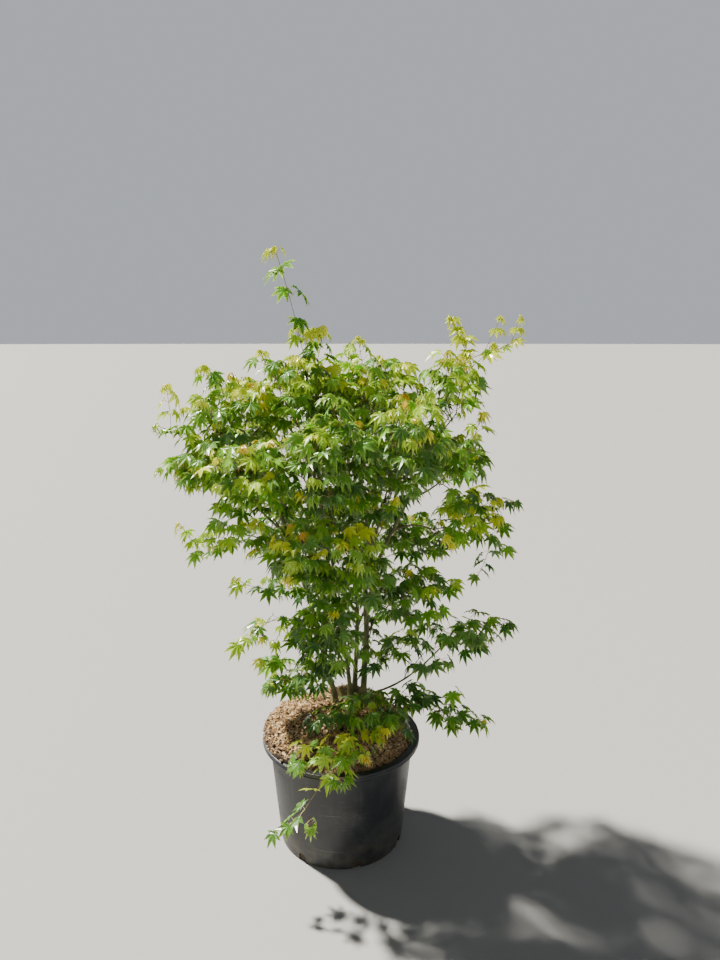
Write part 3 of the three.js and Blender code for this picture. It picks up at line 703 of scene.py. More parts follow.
def through(points):
    """A smooth centripetal curve through some points, as a fine row of places."""
    ends = [2 * points[0] - points[1], *points, 2 * points[-1] - points[-2]]
    row = []
    for before, start, end, after in zip(ends, ends[1:], ends[2:], ends[3:]):
        a, b, c = [math.sqrt(length(q - p)) for p, q in ((before, start), (start, end), (end, after))]
        leave = b * ((start - before) / a - (end - before) / (a + b) + (end - start) / b)
        arrive = b * ((end - start) / b - (after - start) / (b + c) + (after - end) / c)
        for t in np.arange(STEM_FINESSE) / STEM_FINESSE:
            hermite = start * (2 * t ** 3 - 3 * t ** 2 + 1) + end * (3 * t ** 2 - 2 * t ** 3)
            row.append(hermite + leave * (t ** 3 - 2 * t ** 2 + t) + arrive * (t ** 3 - t ** 2))
    return np.array([*row, points[-1]])


def evenly(row):
    """Places one ring step apart along a fine row, and how far along each one is."""
    path = np.concatenate([[0], np.cumsum(np.linalg.norm(np.diff(row, axis=0), axis=1))])
    marks = np.linspace(0, path[-1], max(3, round(path[-1] / RING_STEP) + 1))
    return np.stack([np.interp(marks, path, row[:, axis]) for axis in range(3)], axis=1), marks


limbs = {}
for name, plan in STEMS.items():
    foot = [(*plan["foot"], GROUND + side * STEM_FOOT) for side in (-1, 1)]
    line = through([np.array(spot) for spot in (*foot, *plan["way"], plan["tip"])])
    places, marks = evenly(line)
    flare = FLARE * np.exp(-np.maximum(0, marks - STEM_FOOT) / FLARE_HEIGHT)
    radii = plan["girth"] * (1 - (1 - TIP_SHARE) * marks / marks[-1] + flare)
    limbs[name] = {"places": places, "radii": radii}
for name, (parent, share, tip, girth, rise) in BOUGHS.items():
    carrier = limbs[parent]["places"]
    start, tip = carrier[round(share * (len(carrier) - 1))], np.array(tip)
    middle = (start + tip) / 2 + np.array([0, 0, 2 * rise])
    t = np.linspace(0, 1, BOUGH_FINESSE)[:, None]
    line = start * (1 - t) ** 2 + 2 * middle * t * (1 - t) + tip * t * t
    places, marks = evenly(line)
    limbs[name] = {"places": places, "radii": girth * (1 - (1 - TIP_SHARE) * marks / marks[-1])}
print(len(limbs), "limbs,", sum(len(limb["places"]) for limb in limbs.values()), "rings")

# %% [markdown]
# Young maple bark is smooth, with a low ring where each old pair of twigs sat, and soft lumps
# between. A curve with a round bevel and a radius at each point sweeps the limb, which a row of
# cylinders could only do with steps. The radii swell at the old buds, and at the collar where a
# bough leaves its parent. Later a Displace modifier adds the lumps.

# %% A limb from a curve
BUD_STEP = 0.048
BUD_WIDTH = 0.0035
BUD_SWELL = 0.11
COLLAR_SWELL = 0.55
COLLAR_FADE = 0.010


def sweep(name, places, radii, roundness):
    """A closed tube along a row of places, by a curve's round bevel."""
    bpy.ops.curve.primitive_nurbs_path_add(location=(0, 0, 0))
    piece = named(name)
    piece.data.splines.clear()
    spline = piece.data.splines.new("POLY")
    spline.points.add(len(places) - 1)
    spline.points.foreach_set("co", np.hstack([places, np.ones((len(places), 1))]).ravel())
    spline.points.foreach_set("radius", radii)
    piece.data.dimensions = "3D"
    piece.data.bevel_depth = 1.0
    piece.data.bevel_resolution = roundness
    piece.data.use_fill_caps = True
    only(piece)
    bpy.ops.object.convert(target="MESH")
    piece = named(name)
    bpy.ops.object.mode_set(mode="EDIT")
    bpy.ops.mesh.select_all(action="SELECT")
    bpy.ops.mesh.remove_doubles(threshold=TINY)
    bpy.ops.mesh.normals_make_consistent(inside=False)
    bpy.ops.object.mode_set(mode="OBJECT")
    return piece


def with_buds(limb, parent_radius):
    """The limb's radii with its collar and its rings of old buds."""
    marks = np.arange(len(limb["places"])) * RING_STEP
    from_bud = np.abs((marks + BUD_STEP / 2) % BUD_STEP - BUD_STEP / 2)
    swell = 1 + BUD_SWELL * np.exp(-((from_bud / BUD_WIDTH) ** 2))
    if parent_radius:
        swell += COLLAR_SWELL * np.exp(-np.maximum(0, marks - parent_radius) / COLLAR_FADE)
    return limb["radii"] * swell


print("a ring of old buds every", BUD_STEP, "metres")

# %% [markdown]
# Each limb is now swept, and two cloud textures push its surface in and out, one broad and one fine.
# Thin limbs get less of both, or they would look gnawed. A stem starts a little under the heap.

# %% Sweep the limbs
BELOW_GROUND = 0.012
STEM_ROUNDNESS = 6
BOUGH_ROUNDNESS = 4
LUMP_SIZE = 0.022
LUMPS = 0.0016
FINE_LUMP_SIZE = 0.007
FINE_LUMPS = 0.0006
FULL_LUMPS_AT = 0.007
BARK_CREASE = math.radians(50)

lumps = bpy.data.textures.new("lumps", type="CLOUDS")
lumps.noise_scale = LUMP_SIZE
fine_lumps = bpy.data.textures.new("fine_lumps", type="CLOUDS")
fine_lumps.noise_scale = FINE_LUMP_SIZE
limb_pieces = {}
for name, limb in limbs.items():
    parent_radius = 0.0
    if name in BOUGHS:
        parent, share = BOUGHS[name][:2]
        carrier = limbs[parent]["radii"]
        parent_radius = float(carrier[round(share * (len(carrier) - 1))])
    places = limb["places"]
    radii = with_buds(limb, parent_radius)
    if name in STEMS:
        above = places[:, 2] > GROUND - BELOW_GROUND
        places, radii = places[above], radii[above]
    roundness = STEM_ROUNDNESS if name in STEMS else BOUGH_ROUNDNESS
    piece = sweep(name + "_bark", places, radii, roundness)
    size = min(1.0, float(limb["radii"].mean()) / FULL_LUMPS_AT)
    apply_modifier(piece, "DISPLACE", texture=lumps, strength=LUMPS * size, mid_level=0.5)
    apply_modifier(piece, "DISPLACE", texture=fine_lumps, strength=FINE_LUMPS * size, mid_level=0.5)
    only(piece)
    bpy.ops.object.shade_smooth_by_angle(angle=BARK_CREASE)
    limb_pieces[name] = piece
print(len(limb_pieces), "limbs swept")

# %% [markdown]
# The bark is olive green on the stems and a little browner on the boughs. Darker patches come and go,
# fine streaks run along the limb, and small pale pores dot it. Each bark could have a finish of its
# own, but the pattern is the same at each age, so one recipe serves all with other colours.

# %% Finish of the bark
def spots(material, scale, stretch=(1, 1, 1)):
    """Distance from scattered points, which makes round or drawn-out spots."""
    mapping = add(material, "Mapping", {"Vector": place_on(material), "Scale": stretch})
    inputs = {"Vector": mapping.outputs["Vector"], "Scale": scale}
    return add(material, "TexVoronoi", inputs).outputs["Distance"]


def bark(name, base, dark, pale):
    """Bark with streaks along the limb, pale pores and cloudy patches."""
    material = plain(name, base, 0.72)
    patch = between(material, grain(material, 26, detail=6), 0.38, 0.64)
    streak = between(material, grain(material, 330, (1, 1, 0.12), 5), 0.42, 0.66)
    pores = between(material, spots(material, 190, (1, 1, 0.55)), 0.1, 0.2, 1, 0)
    colour = tinted(material, patch, base, dark)
    colour = tinted(material, times(material, streak, 0.5), colour, [0.45 * value for value in dark])
    lead(material, tinted(material, times(material, pores, 0.55), colour, pale), "Base Color")
    bumped(material, grain(material, 420, (1, 1, 0.2), 6), 0.0007)
    return material


stem_bark = bark("stem_bark", (0.16, 0.17, 0.058), (0.08, 0.095, 0.034), (0.36, 0.34, 0.19))
bough_bark = bark("bough_bark", (0.15, 0.15, 0.055), (0.1, 0.085, 0.035), (0.34, 0.31, 0.17))
for name, piece in limb_pieces.items():
    if name in STEMS:
        dress(piece, stem_bark, "stem_bark", [name])
    else:
        dress(piece, bough_bark, "bough_bark", [name])

# %% [markdown]
# A mass of leaves is the growth at the tip of one stem or bough. It has a rounded space, given by its
# middle and half its size, a number of coarse shoots, and places that some shoots must reach. Cards
# with leaves painted on would be quicker, but they look flat from the side, so the masses are grown.
# Other values set how it grows. Finer is the number of fine shoots for each coarse one, and at 0 the given
# tips don't grow on either. Internode is the way between two pairs of leaves, and lift raises the shoots
# in their space. Light adds painted light, so that the leaves of the mass are painted brighter, larger
# makes them bigger, and leafy is the share of them that grow.

# %% The masses of leaves
def mass(on, middle, half, shoots, tips=(), **more):
    """The plan of one mass of leaves on a limb."""
    return {"on": on, "middle": middle, "half": half, "shoots": shoots, "tips": tips, **more}


MASSES = {
    "leaves_crown_left": mass(
        "stem_middle", (-0.115, 0.060, 1.395), (0.155, 0.165, 0.155), 8,
        [(-0.057, 0.050, 1.525), (-0.215, 0.040, 1.480)], light=0.09,
    ),
    "leaves_crown_right": mass(
        "stem_right", (0.120, 0.075, 1.385), (0.150, 0.165, 0.145), 6, [(0.060, 0.060, 1.515)],
        light=0.08,
    ),
    "leaves_leader": mass(
        "bough_leader", (-0.145, 0.050, 1.660), (0.075, 0.075, 0.155), 0, [(-0.178, 0.050, 1.790)],
        finer=0, internode=0.07, light=0.22, larger=1.4,
    ),
    "leaves_left_top": mass(
        "stem_left", (-0.300, 0.060, 1.345), (0.160, 0.165, 0.135), 7,
        [(-0.385, 0.050, 1.435), (-0.410, 0.040, 1.340)], light=0.09,
    ),
    "leaves_left": mass(
        "bough_left", (-0.355, -0.015, 1.190), (0.145, 0.155, 0.105), 5,
        [(-0.440, -0.010, 1.262), (-0.435, -0.010, 1.185)],
    ),
    "leaves_left_fronds": mass(
        "bough_left_fronds", (-0.310, -0.050, 0.975), (0.190, 0.115, 0.080), 2,
        [(-0.435, -0.055, 0.985), (-0.365, -0.070, 0.945)], finer=3, lift=0.012, light=0.2,
        larger=0.88,
    ),
    "leaves_front": mass(
        "bough_front", (-0.005, -0.205, 1.245), (0.140, 0.145, 0.155), 7, [(-0.006, -0.230, 1.370)],
        light=-0.03,
    ),
    "leaves_front_left": mass(
        "bough_front_left", (-0.215, -0.185, 1.190), (0.135, 0.140, 0.135), 6,
        [(-0.300, -0.220, 1.270)],
    ),
    "leaves_front_right": mass(
        "bough_front_right", (0.180, -0.165, 1.270), (0.125, 0.140, 0.145), 6,
        [(0.230, -0.200, 1.370)], light=-0.07,
    ),
    "leaves_right_top": mass(
        "bough_right", (0.325, 0.095, 1.405), (0.118, 0.150, 0.150), 5,
        [(0.345, 0.095, 1.570), (0.425, 0.098, 1.500)], finer=3.5, light=-0.01,
    ),
    "leaves_right": mass(
        "bough_right_side", (0.335, -0.010, 1.205), (0.105, 0.145, 0.095), 5, [(0.395, 0.000, 1.285)],
        finer=3.4, lift=0.01,
    ),
    "leaves_right_tier": mass(
        "bough_right_tier", (0.385, 0.055, 0.935), (0.150, 0.125, 0.105), 4,
        [(0.470, 0.085, 0.935), (0.450, 0.095, 0.865)], finer=3.5, lift=0.072, light=0.04,
    ),
    "leaves_right_inner": mass(
        "bough_right_inner", (0.235, 0.100, 0.765), (0.115, 0.120, 0.085), 4, [(0.310, 0.085, 0.780)],
        finer=3, lift=0.03,
    ),
    "leaves_low_right": mass(
        "bough_low_right", (0.400, 0.100, 0.665), (0.150, 0.110, 0.100), 4, [(0.488, 0.100, 0.650)],
        finer=2.2, lift=-0.03, light=-0.02,
    ),
    "leaves_lowest_right": mass(
        "bough_lowest_right", (0.325, 0.000, 0.425), (0.125, 0.105, 0.080), 3,
        [(0.395, -0.005, 0.395)], finer=0.8, lift=-0.012, light=0.07,
    ),
    "leaves_middle_front": mass(
        "bough_middle_front", (-0.040, -0.170, 0.970), (0.190, 0.140, 0.125), 9,
        [(-0.190, -0.150, 0.980), (0.130, -0.150, 0.985)], light=0.1,
    ),
    "leaves_low_centre": mass(
        "bough_low_centre", (-0.045, -0.085, 0.700), (0.110, 0.125, 0.130), 7, light=0.12, finer=5,
    ),
    "leaves_low_left": mass(
        "bough_low_left", (-0.215, -0.020, 0.700), (0.120, 0.105, 0.080), 4, [(-0.265, -0.050, 0.680)],
        finer=0.6, internode=0.052, light=0.26,
    ),
    "leaves_low_left_inner": mass(
        "bough_low_left_inner", (-0.170, -0.010, 0.550), (0.095, 0.100, 0.075), 3,
        [(-0.205, -0.040, 0.590)], finer=0.7, internode=0.052, light=0.22,
    ),
    "leaves_front_hang": mass(
        "bough_front_hang", (-0.075, -0.300, 0.345), (0.110, 0.085, 0.145), 0,
        [(-0.047, -0.285, 0.362), (-0.060, -0.290, 0.328), (-0.094, -0.290, 0.272),
         (-0.125, -0.290, 0.236), (-0.162, -0.290, 0.212), (-0.080, -0.300, 0.246)],
        finer=0, internode=0.05, light=0.4, leafy=0.9,
    ),
    "leaves_base_front": mass(
        "bough_base_front", (0.105, -0.090, 0.455), (0.150, 0.120, 0.075), 4, light=0.19,
    ),
    "leaves_back_top": mass(
        "stem_back", (0.020, 0.325, 1.345), (0.190, 0.155, 0.155), 5, [(0.020, 0.330, 1.490)], finer=6,
    ),
    "leaves_back_left": mass(
        "bough_back_left", (-0.235, 0.315, 1.190), (0.175, 0.155, 0.150), 5, [(-0.390, 0.330, 1.230)],
        finer=6,
    ),
    "leaves_back_right": mass(
        "bough_back_right", (0.270, 0.325, 1.165), (0.175, 0.155, 0.150), 5, [(0.420, 0.340, 1.200)],
        finer=6,
    ),
    "leaves_back_low_left": mass(
        "bough_back_low_left", (-0.140, 0.330, 0.905), (0.180, 0.140, 0.115), 4,
        [(-0.290, 0.340, 0.900)],
    ),
    "leaves_back_low_right": mass(
        "bough_back_low_right", (0.215, 0.335, 0.890), (0.180, 0.140, 0.115), 4,
        [(0.360, 0.350, 0.880)],
    ),
}
coarse = sum(plan["shoots"] + len(plan["tips"]) for plan in MASSES.values())
print(len(MASSES), "masses,", coarse, "coarse shoots")

# %% [markdown]
# Between its large masses a real maple carries small side sprays, straight from a stem or bough. They
# fill gaps that the plain model leaves open. Each is planned like a mass, with one value more: the
# share of the limb's length where it starts.

# %% The side sprays
def side_spray(on, at, middle, half, shoots, tips=(), **more):
    """The plan of one side spray, which starts at a share of its limb's length."""
    return mass(on, middle, half, shoots, tips, at=at, **more)


SIDE_SPRAYS = {
    "left_tier": side_spray(
        "stem_left", 0.33, (-0.200, -0.030, 0.835), (0.115, 0.060, 0.018), 6,
        [(-0.268, -0.050, 0.838)], internode=0.052, light=0.24,
    ),
    "left_shelf": side_spray(
        "bough_front_left", 0.7, (-0.235, -0.070, 1.090), (0.125, 0.080, 0.035), 12,
    ),
    "left_far": side_spray(
        "bough_left", 0.8, (-0.400, 0.000, 1.290), (0.070, 0.080, 0.080), 2,
        [(-0.490, 0.000, 1.290), (-0.500, 0.030, 1.370), (-0.510, -0.020, 1.185)], light=0.1,
    ),
    "right_low": side_spray(
        "bough_low_right", 0.42, (0.235, 0.020, 0.605), (0.105, 0.080, 0.070), 15,
    ),
    "right_middle": side_spray(
        "stem_right", 0.27, (0.190, 0.000, 0.762), (0.100, 0.080, 0.055), 12, light=0.05,
    ),
    "right_shelf": side_spray(
        "bough_right_side", 0.9, (0.405, 0.020, 1.082), (0.085, 0.080, 0.028), 8,
        [(0.480, 0.040, 1.072)], light=0.05,
    ),
    "right_tips": side_spray(
        "bough_right", 0.93, (0.400, 0.095, 1.500), (0.050, 0.040, 0.030), 1,
        [(0.455, 0.100, 1.570), (0.520, 0.100, 1.575), (0.475, 0.090, 1.525)], internode=0.055,
        light=0.15, larger=0.75,
    ),
    "inner_right": side_spray(
        "stem_right", 0.36, (0.100, -0.020, 0.845), (0.055, 0.070, 0.080), 11, light=0.08,
    ),
    "inner_right_high": side_spray(
        "stem_right", 0.68, (0.150, -0.030, 1.135), (0.085, 0.080, 0.045), 12,
    ),
    "front_shelf": side_spray(
        "bough_front", 0.75, (-0.045, -0.120, 1.125), (0.140, 0.070, 0.045), 18,
    ),
    "front_gap": side_spray(
        "bough_low_centre", 0.6, (0.010, -0.120, 0.850), (0.110, 0.070, 0.045), 13, light=0.14,
    ),
    "foot_spray": side_spray(
        "stem_middle", 0.13, (-0.065, -0.040, 0.580), (0.070, 0.060, 0.040), 6, light=0.22,
    ),
    "foot_left": side_spray(
        "stem_left", 0.07, (-0.165, -0.020, 0.505), (0.060, 0.050, 0.028), 4, light=0.2,
    ),
    "mulch_spray": side_spray(
        "bough_front_hang", 0.82, (0.030, -0.205, 0.420), (0.100, 0.060, 0.030), 12, light=0.36,
    ),
    "mulch_spray_left": side_spray(
        "bough_front_hang", 0.5, (-0.065, -0.110, 0.452), (0.060, 0.050, 0.028), 3, light=0.1,
    ),
    "hanging": side_spray(
        "bough_front_hang", 0.95, (-0.060, -0.270, 0.420), (0.050, 0.020, 0.060), 1,
        [(-0.008, -0.280, 0.388), (-0.040, -0.285, 0.378), (-0.088, -0.285, 0.396)], internode=0.06,
        light=0.34, leafy=0.8,
    ),
    "lowest_way": side_spray(
        "bough_lowest_right", 0.55, (0.225, 0.000, 0.462), (0.075, 0.060, 0.025), 5,
    ),
    "foot_right": side_spray(
        "stem_right", 0.1, (0.120, 0.040, 0.560), (0.050, 0.050, 0.040), 4, light=0.06,
    ),
    "back_crown": side_spray(
        "stem_back", 0.93, (0.000, 0.200, 1.385), (0.190, 0.080, 0.100), 20,
    ),
    "back_high": side_spray(
        "stem_back", 0.75, (0.020, 0.210, 1.190), (0.150, 0.100, 0.110), 20,
    ),
    "back_middle_left": side_spray(
        "stem_back", 0.5, (-0.080, 0.210, 1.000), (0.130, 0.100, 0.080), 13,
    ),
    "back_middle_right": side_spray(
        "stem_back", 0.45, (0.110, 0.240, 0.990), (0.110, 0.090, 0.080), 11,
    ),
    "back_low": side_spray(
        "stem_back", 0.25, (0.045, 0.240, 0.700), (0.130, 0.090, 0.070), 12,
    ),
    "back_foot": side_spray(
        "stem_back", 0.1, (0.050, 0.210, 0.540), (0.090, 0.060, 0.050), 6,
    ),
    "leader_foot": side_spray(
        "bough_leader", 0.97, (-0.095, 0.050, 1.575), (0.040, 0.050, 0.030), 3, light=0.32,
    ),
    "front_shelf_right": side_spray(
        "bough_front_right", 0.6, (0.085, -0.120, 1.095), (0.080, 0.070, 0.045), 11,
    ),
}
print(len(SIDE_SPRAYS), "side sprays")

# %% [markdown]
# A shoot can't grow through a stem or into the heap, so it needs to know what is near. Comparing each
# place with every ring of every limb would be slow. A tree of places finds the nearest one at once.

# %% Room to grow
TWIG_ROOM = 0.003
TWIG_POT_ROOM = 0.004
LIP_ZONE = 0.02
WAY_CHECKS = np.linspace(0.25, 1, 6)

limb_samples = np.concatenate([limb["places"] for limb in limbs.values()])
limb_radii = np.concatenate([limb["radii"] for limb in limbs.values()])
limb_tree = kdtree.KDTree(len(limb_samples))
for i, sample in enumerate(limb_samples):
    limb_tree.insert(sample, i)
limb_tree.balance()


def near_limb(spot, room):
    """Whether a place is in a stem or bough, or too close to one."""
    found = limb_tree.find(spot)
    return found[2] < limb_radii[found[1]] + room


def in_pot(spot, room):
    """Whether a place is inside the pot or the heap, or too close to them."""
    out = math.hypot(spot[0], spot[1])
    if out < HEAP_SPILL and spot[2] < heap_height(spot[0], spot[1]) + room:
        return True
    widest = LIP_RADIUS if spot[2] > lip_foot - LIP_ZONE else wall_radius(spot[2])
    return spot[2] < POT_HEIGHT + room and out < widest + room


def way_is_clear(start, end):
    """Whether a straight twig keeps clear of the limbs, the heap and the pot."""
    spots_on_way = [start + (end - start) * share for share in WAY_CHECKS]
    return not any(near_limb(spot, TWIG_ROOM) or in_pot(spot, TWIG_POT_ROOM) for spot in spots_on_way)


print("nearest of", len(limb_samples), "places on the limbs")

# %% [markdown]
# Everything random in the growth comes from small streams of numbers that start at a seed, so each run
# grows the same plant. The plain model was grown by the same streams, so most of its shoots come out in
# the same places here. A library's random numbers would be repeatable too, but not the plain model's.
# The stride and the shifts are those of a common generator of 32-bit numbers.

# %% Random numbers
WORD = 0xFFFFFFFF
STRIDE = 0x6D2B79F5


def stream(seed):
    """A repeatable stream of numbers from 0 to 1."""
    state = seed

    def draw():
        """The next number."""
        nonlocal state
        state = (state + STRIDE) & WORD
        mixed = ((state ^ (state >> 15)) * (1 | state)) & WORD
        mixed = ((mixed + (mixed ^ (mixed >> 7)) * (61 | mixed)) & WORD) ^ mixed
        return (mixed ^ (mixed >> 14)) / (WORD + 1)

    return draw


print("the same seed gives the same number twice:", stream(1)() == stream(1)())

# %% [markdown]
# A tree fills its crown because buds in the shade of others die. The rule copies that: a shoot aims at
# the emptiest of a few random places in the mass's space. Even spacing would look like a grid, and
# chance alone would leave bare spots. Coarse shoots aim well out, fine ones anywhere but the middle.

# %% Where a shoot aims
CANDIDATES = 7
SHELL = (0.5, 1)
INSET = 0.062
FINE_SHELL = (0.28, 1)
FINE_INSET = 0.040
SIDE_SHELL = (0.1, 1)
SIDE_INSET = 0.01
LEAST_ROOM = 0.35


def random_place(plan, random, shell, inset):
    """A random place in the mass's space, off its surface by an inset."""
    height = 2 * random() - 1
    turn = 2 * math.pi * random()
    reach = shell[0] + (shell[1] - shell[0]) * random() ** (1 / 3)
    wide = math.sqrt(1 - height * height)
    way = np.array([math.cos(turn) * wide, math.sin(turn) * wide, height])
    half = np.array(plan["half"])
    return plan["middle"] + way * reach * np.maximum(half - inset, LEAST_ROOM * half)


def emptiest(plan, random, others, shell, inset):
    """The emptiest of a few random places."""
    choices = [random_place(plan, random, shell, inset) for _ in range(CANDIDATES)]
    if not len(others):
        return choices[0]
    crowd = np.array(others)
    return max(choices, key=lambda choice: np.linalg.norm(crowd - choice, axis=1).min())


print("each shoot takes the emptiest of", CANDIDATES, "places")

# %% [markdown]
# A shoot could always join the nearest twig, but its sap would then have a long and winding way. So it
# joins the twig that gives a short way to its place and also a short way down to the limb, and a fine
# shoot avoids turning back. If a limb is in the way, the next best twig is tried. The shoot bends to
# and fro at each internode and arches a little, as maple shoots do.

# %% Join a shoot to its tree
BALANCE = 0.35
PARENT_CHOICES = 3
BACKWARD = 0.45
INTERNODE = 0.038
ARCH = 0.05
ZIGZAG = 0.0035
ANY_LENGTH = 9.0
SHOOT_LEAST = 0.012
LEAST_LENGTH = 1e-9
UP = np.array([0.0, 0.0, 1.0])


def unit(vector):
    """A vector's way, one long."""
    return vector / max(length(vector), LEAST_LENGTH)


def parents_for(place, nodes, longest):
    """The nodes that a shoot to a place may start from, best first."""
    def cost(index):
        """How dear a shoot from a node would be."""
        node = nodes[index]
        way = place - node["place"]
        turned_back = 1 - float(np.dot(unit(way), node["along"]))
        backward = BACKWARD * turned_back if longest < ANY_LENGTH else 0
        return length(way) * (1 + backward) + BALANCE * node["path"]

    return sorted(range(1, len(nodes)), key=cost)[:PARENT_CHOICES]


def add_shoot(nodes, place, plan, random, longest=ANY_LENGTH):
    """Join a place to the tree by a shoot of several internodes, and tell its last node."""
    for parent in parents_for(place, nodes, longest):
        start = nodes[parent]["place"]
        way = place - start
        reach = length(way)
        if reach > longest or reach < SHOOT_LEAST or not way_is_clear(start, place):
            continue
        spray = len(nodes)
        steps = max(1, round(reach / plan.get("internode", INTERNODE)))
        aside = unit(np.cross(way, UP))
        previous = parent
        for step in range(1, steps + 1):
            share = step / steps
            spot = start + way * share
            if step < steps:
                spot = spot + aside * ZIGZAG * (1 if step % 2 else -1) * (0.5 + random())
                spot[2] += ARCH * reach * 4 * share * (1 - share)
            along = unit(spot - nodes[previous]["place"])
            path = nodes[previous]["path"] + length(spot - nodes[previous]["place"])
            node = {"place": spot, "parent": previous, "path": path, "along": along, "spray": spray}
            nodes.append(node)
            previous = len(nodes) - 1
        return previous
    return None


print("pairs of leaves are", INTERNODE, "metres apart")

# %% [markdown]
# The tree of a mass goes on from the tip of its limb, and that of a side spray leaves the limb's side.
# Both start with a short collar. When a tree is grown, each of its nodes counts the tips that it
# feeds. This load will give the twigs their thickness, which could be set by hand, but in real wood
# it comes from what a twig feeds.

# %% Start and load of a tree
COLLAR = 0.016
SIDE_RISE = np.array([0, 0, 0.3])


def first_nodes(plan):
    """The root of a tree in its limb, and its collar just outside."""
    limb = limbs[plan["on"]]
    carrier = limb["places"]
    root = len(carrier) - 1
    heading = unit(carrier[-1] - carrier[-2])
    collar = carrier[-1] + heading * (GAP + COLLAR)
    if "at" in plan:
        root = round(plan["at"] * (len(carrier) - 1))
        heading = unit(unit(plan["middle"] - carrier[root]) + SIDE_RISE)
        collar = carrier[root] + heading * (limb["radii"][root] + COLLAR)
    return [
        {"place": carrier[root], "parent": -1, "path": 0.0, "along": heading, "spray": 0},
        {"place": collar, "parent": 0, "path": COLLAR, "along": heading, "spray": 0},
    ]


def add_loads(nodes):
    """Give each node the number of tips that it feeds."""
    for node in nodes:
        node["load"] = 0
    for node in reversed(nodes[1:]):
        node["load"] = max(1, node["load"])
        nodes[node["parent"]]["load"] += node["load"]


print("a tree starts with a collar of", COLLAR, "metres")

# %% [markdown]
# Now the trees grow. The coarse shoots come first, the nearest before the furthest, and fine ones then
# fill the space between them. A shoot that has reached its given tip grows on a little, as long as it
# stays in the space of the plain model. One seed would do for all trees, but with a seed for each, a
# change in one plan leaves the others as they are.

# %% Grow the trees
SEED = 71
SIDE_SEED = 211
FINER = 5.6
SHOOT_MOST = 0.150
ONWARD_RISE = np.array([0, 0, 0.25])
EXTENSION = 0.034


def grow_tree(plan, seed):
    """The twigs of one mass or side spray, and the stream of numbers that grew them."""
    random = stream(seed)
    nodes = first_nodes(plan)
    collar = nodes[1]["place"]
    finer = plan.get("finer", FINER)
    lift = np.array([0, 0, plan.get("lift", 0.0)])
    shell, inset = (SIDE_SHELL, SIDE_INSET) if "at" in plan else (SHELL, INSET)
    places = [np.array(tip) for tip in plan["tips"]]
    furthest = list(places) if finer else []
    for _ in range(plan["shoots"]):
        places.append(emptiest(plan, random, places, shell, inset) + lift)
    for place in sorted(places, key=lambda spot: length(spot - collar)):
        end = add_shoot(nodes, place, plan, random)
        if end is not None and any(place is tip for tip in furthest):
            onward = place + unit(nodes[end]["along"] + ONWARD_RISE) * EXTENSION
            if (onward > cad_box[0]).all() and (onward < cad_box[1]).all():
                add_shoot(nodes, onward, plan, random)
    for _ in range(0 if "at" in plan else round(finer * len(places))):
        crowd = [node["place"] for node in nodes]
        place = emptiest(plan, random, crowd - lift, FINE_SHELL, FINE_INSET) + lift
        add_shoot(nodes, place, plan, random, SHOOT_MOST)
    add_loads(nodes)
    return nodes, random


trees = {}
for index, (name, plan) in enumerate(MASSES.items()):
    trees[name] = (plan, *grow_tree(plan, SEED + index))
for index, (name, plan) in enumerate(SIDE_SPRAYS.items()):
    trees[name] = (plan, *grow_tree(plan, SIDE_SEED + index))
print("grown", sum(len(nodes) for _, nodes, _ in trees.values()), "nodes of twigs")

# %% [markdown]
# A twig could be swept from a curve as the limbs are, but there are over seven hundred of them. So a
# twig is a tube of rings, written into arrays. Each ring turns as little as it can from the one
# before, or the tube would twist.

# %% A tube along a row of places
FIRST_NORMAL = np.array([0.31, 0.17, 0.93])


def tube(places, radii, sides, first):
    """Points and faces of a closed tube, its points counted from a first number."""
    places = np.array(places)
    steps = np.diff(places, axis=0)
    steps /= np.linalg.norm(steps, axis=1, keepdims=True)
    along = np.vstack([steps[:1], steps[:-1] + steps[1:], steps[-1:]])
    turns = 2 * math.pi * np.arange(sides) / sides
    normal = FIRST_NORMAL
    points = []
    for place, ahead, radius in zip(places, along, radii):
        ahead = unit(ahead)
        normal = unit(normal - ahead * np.dot(normal, ahead))
        side = np.cross(ahead, normal)
        ring = np.cos(turns)[:, None] * normal + np.sin(turns)[:, None] * side
        points.extend((place + radius * ring).tolist())
    faces = [[first + side for side in reversed(range(sides))]]
    for ring in range(len(places) - 1):
        for side in range(sides):
            near = first + ring * sides
            after = (side + 1) % sides
            faces.append([near + side, near + after, near + sides + after, near + sides + side])
    faces.append([first + (len(places) - 1) * sides + side for side in range(sides)])
    return points, faces


_, faces = tube([(0.0, 0.0, 0.0), (0.0, 0.0, 1.0)], [1, 1], 4, 0)
print("a tube of two rings and four sides has", len(faces), "faces")

# %% [markdown]
# A twig is as thick as the shoots that it feeds. Each runs on along its heaviest shoot as one
# tapering tube, and its side twigs start inside it. Old wood is olive brown and has six sides. The
# year's shoots are thin and reddish brown, and four sides are enough at their size.

# %% Make the twigs
TWIG_TIP = 0.0008
YOUNG_LOAD = 2
OLD_SIDES = 6
YOUNG_SIDES = 4


def twig_rows(nodes):
    """Rows of nodes that make one twig each, along the heaviest shoot."""
    onward = [[] for _ in nodes]
    for index, node in enumerate(nodes[1:], start=1):
        onward[node["parent"]].append(index)
    waiting = [(0, 1)]
    while waiting:
        start, current = waiting.pop()
        row = [start]
        while current is not None:
            row.append(current)
            after = sorted(onward[current], key=lambda i: -nodes[i]["load"])
            waiting.extend((current, side) for side in after[1:])
            current = after[0] if after else None
        yield row


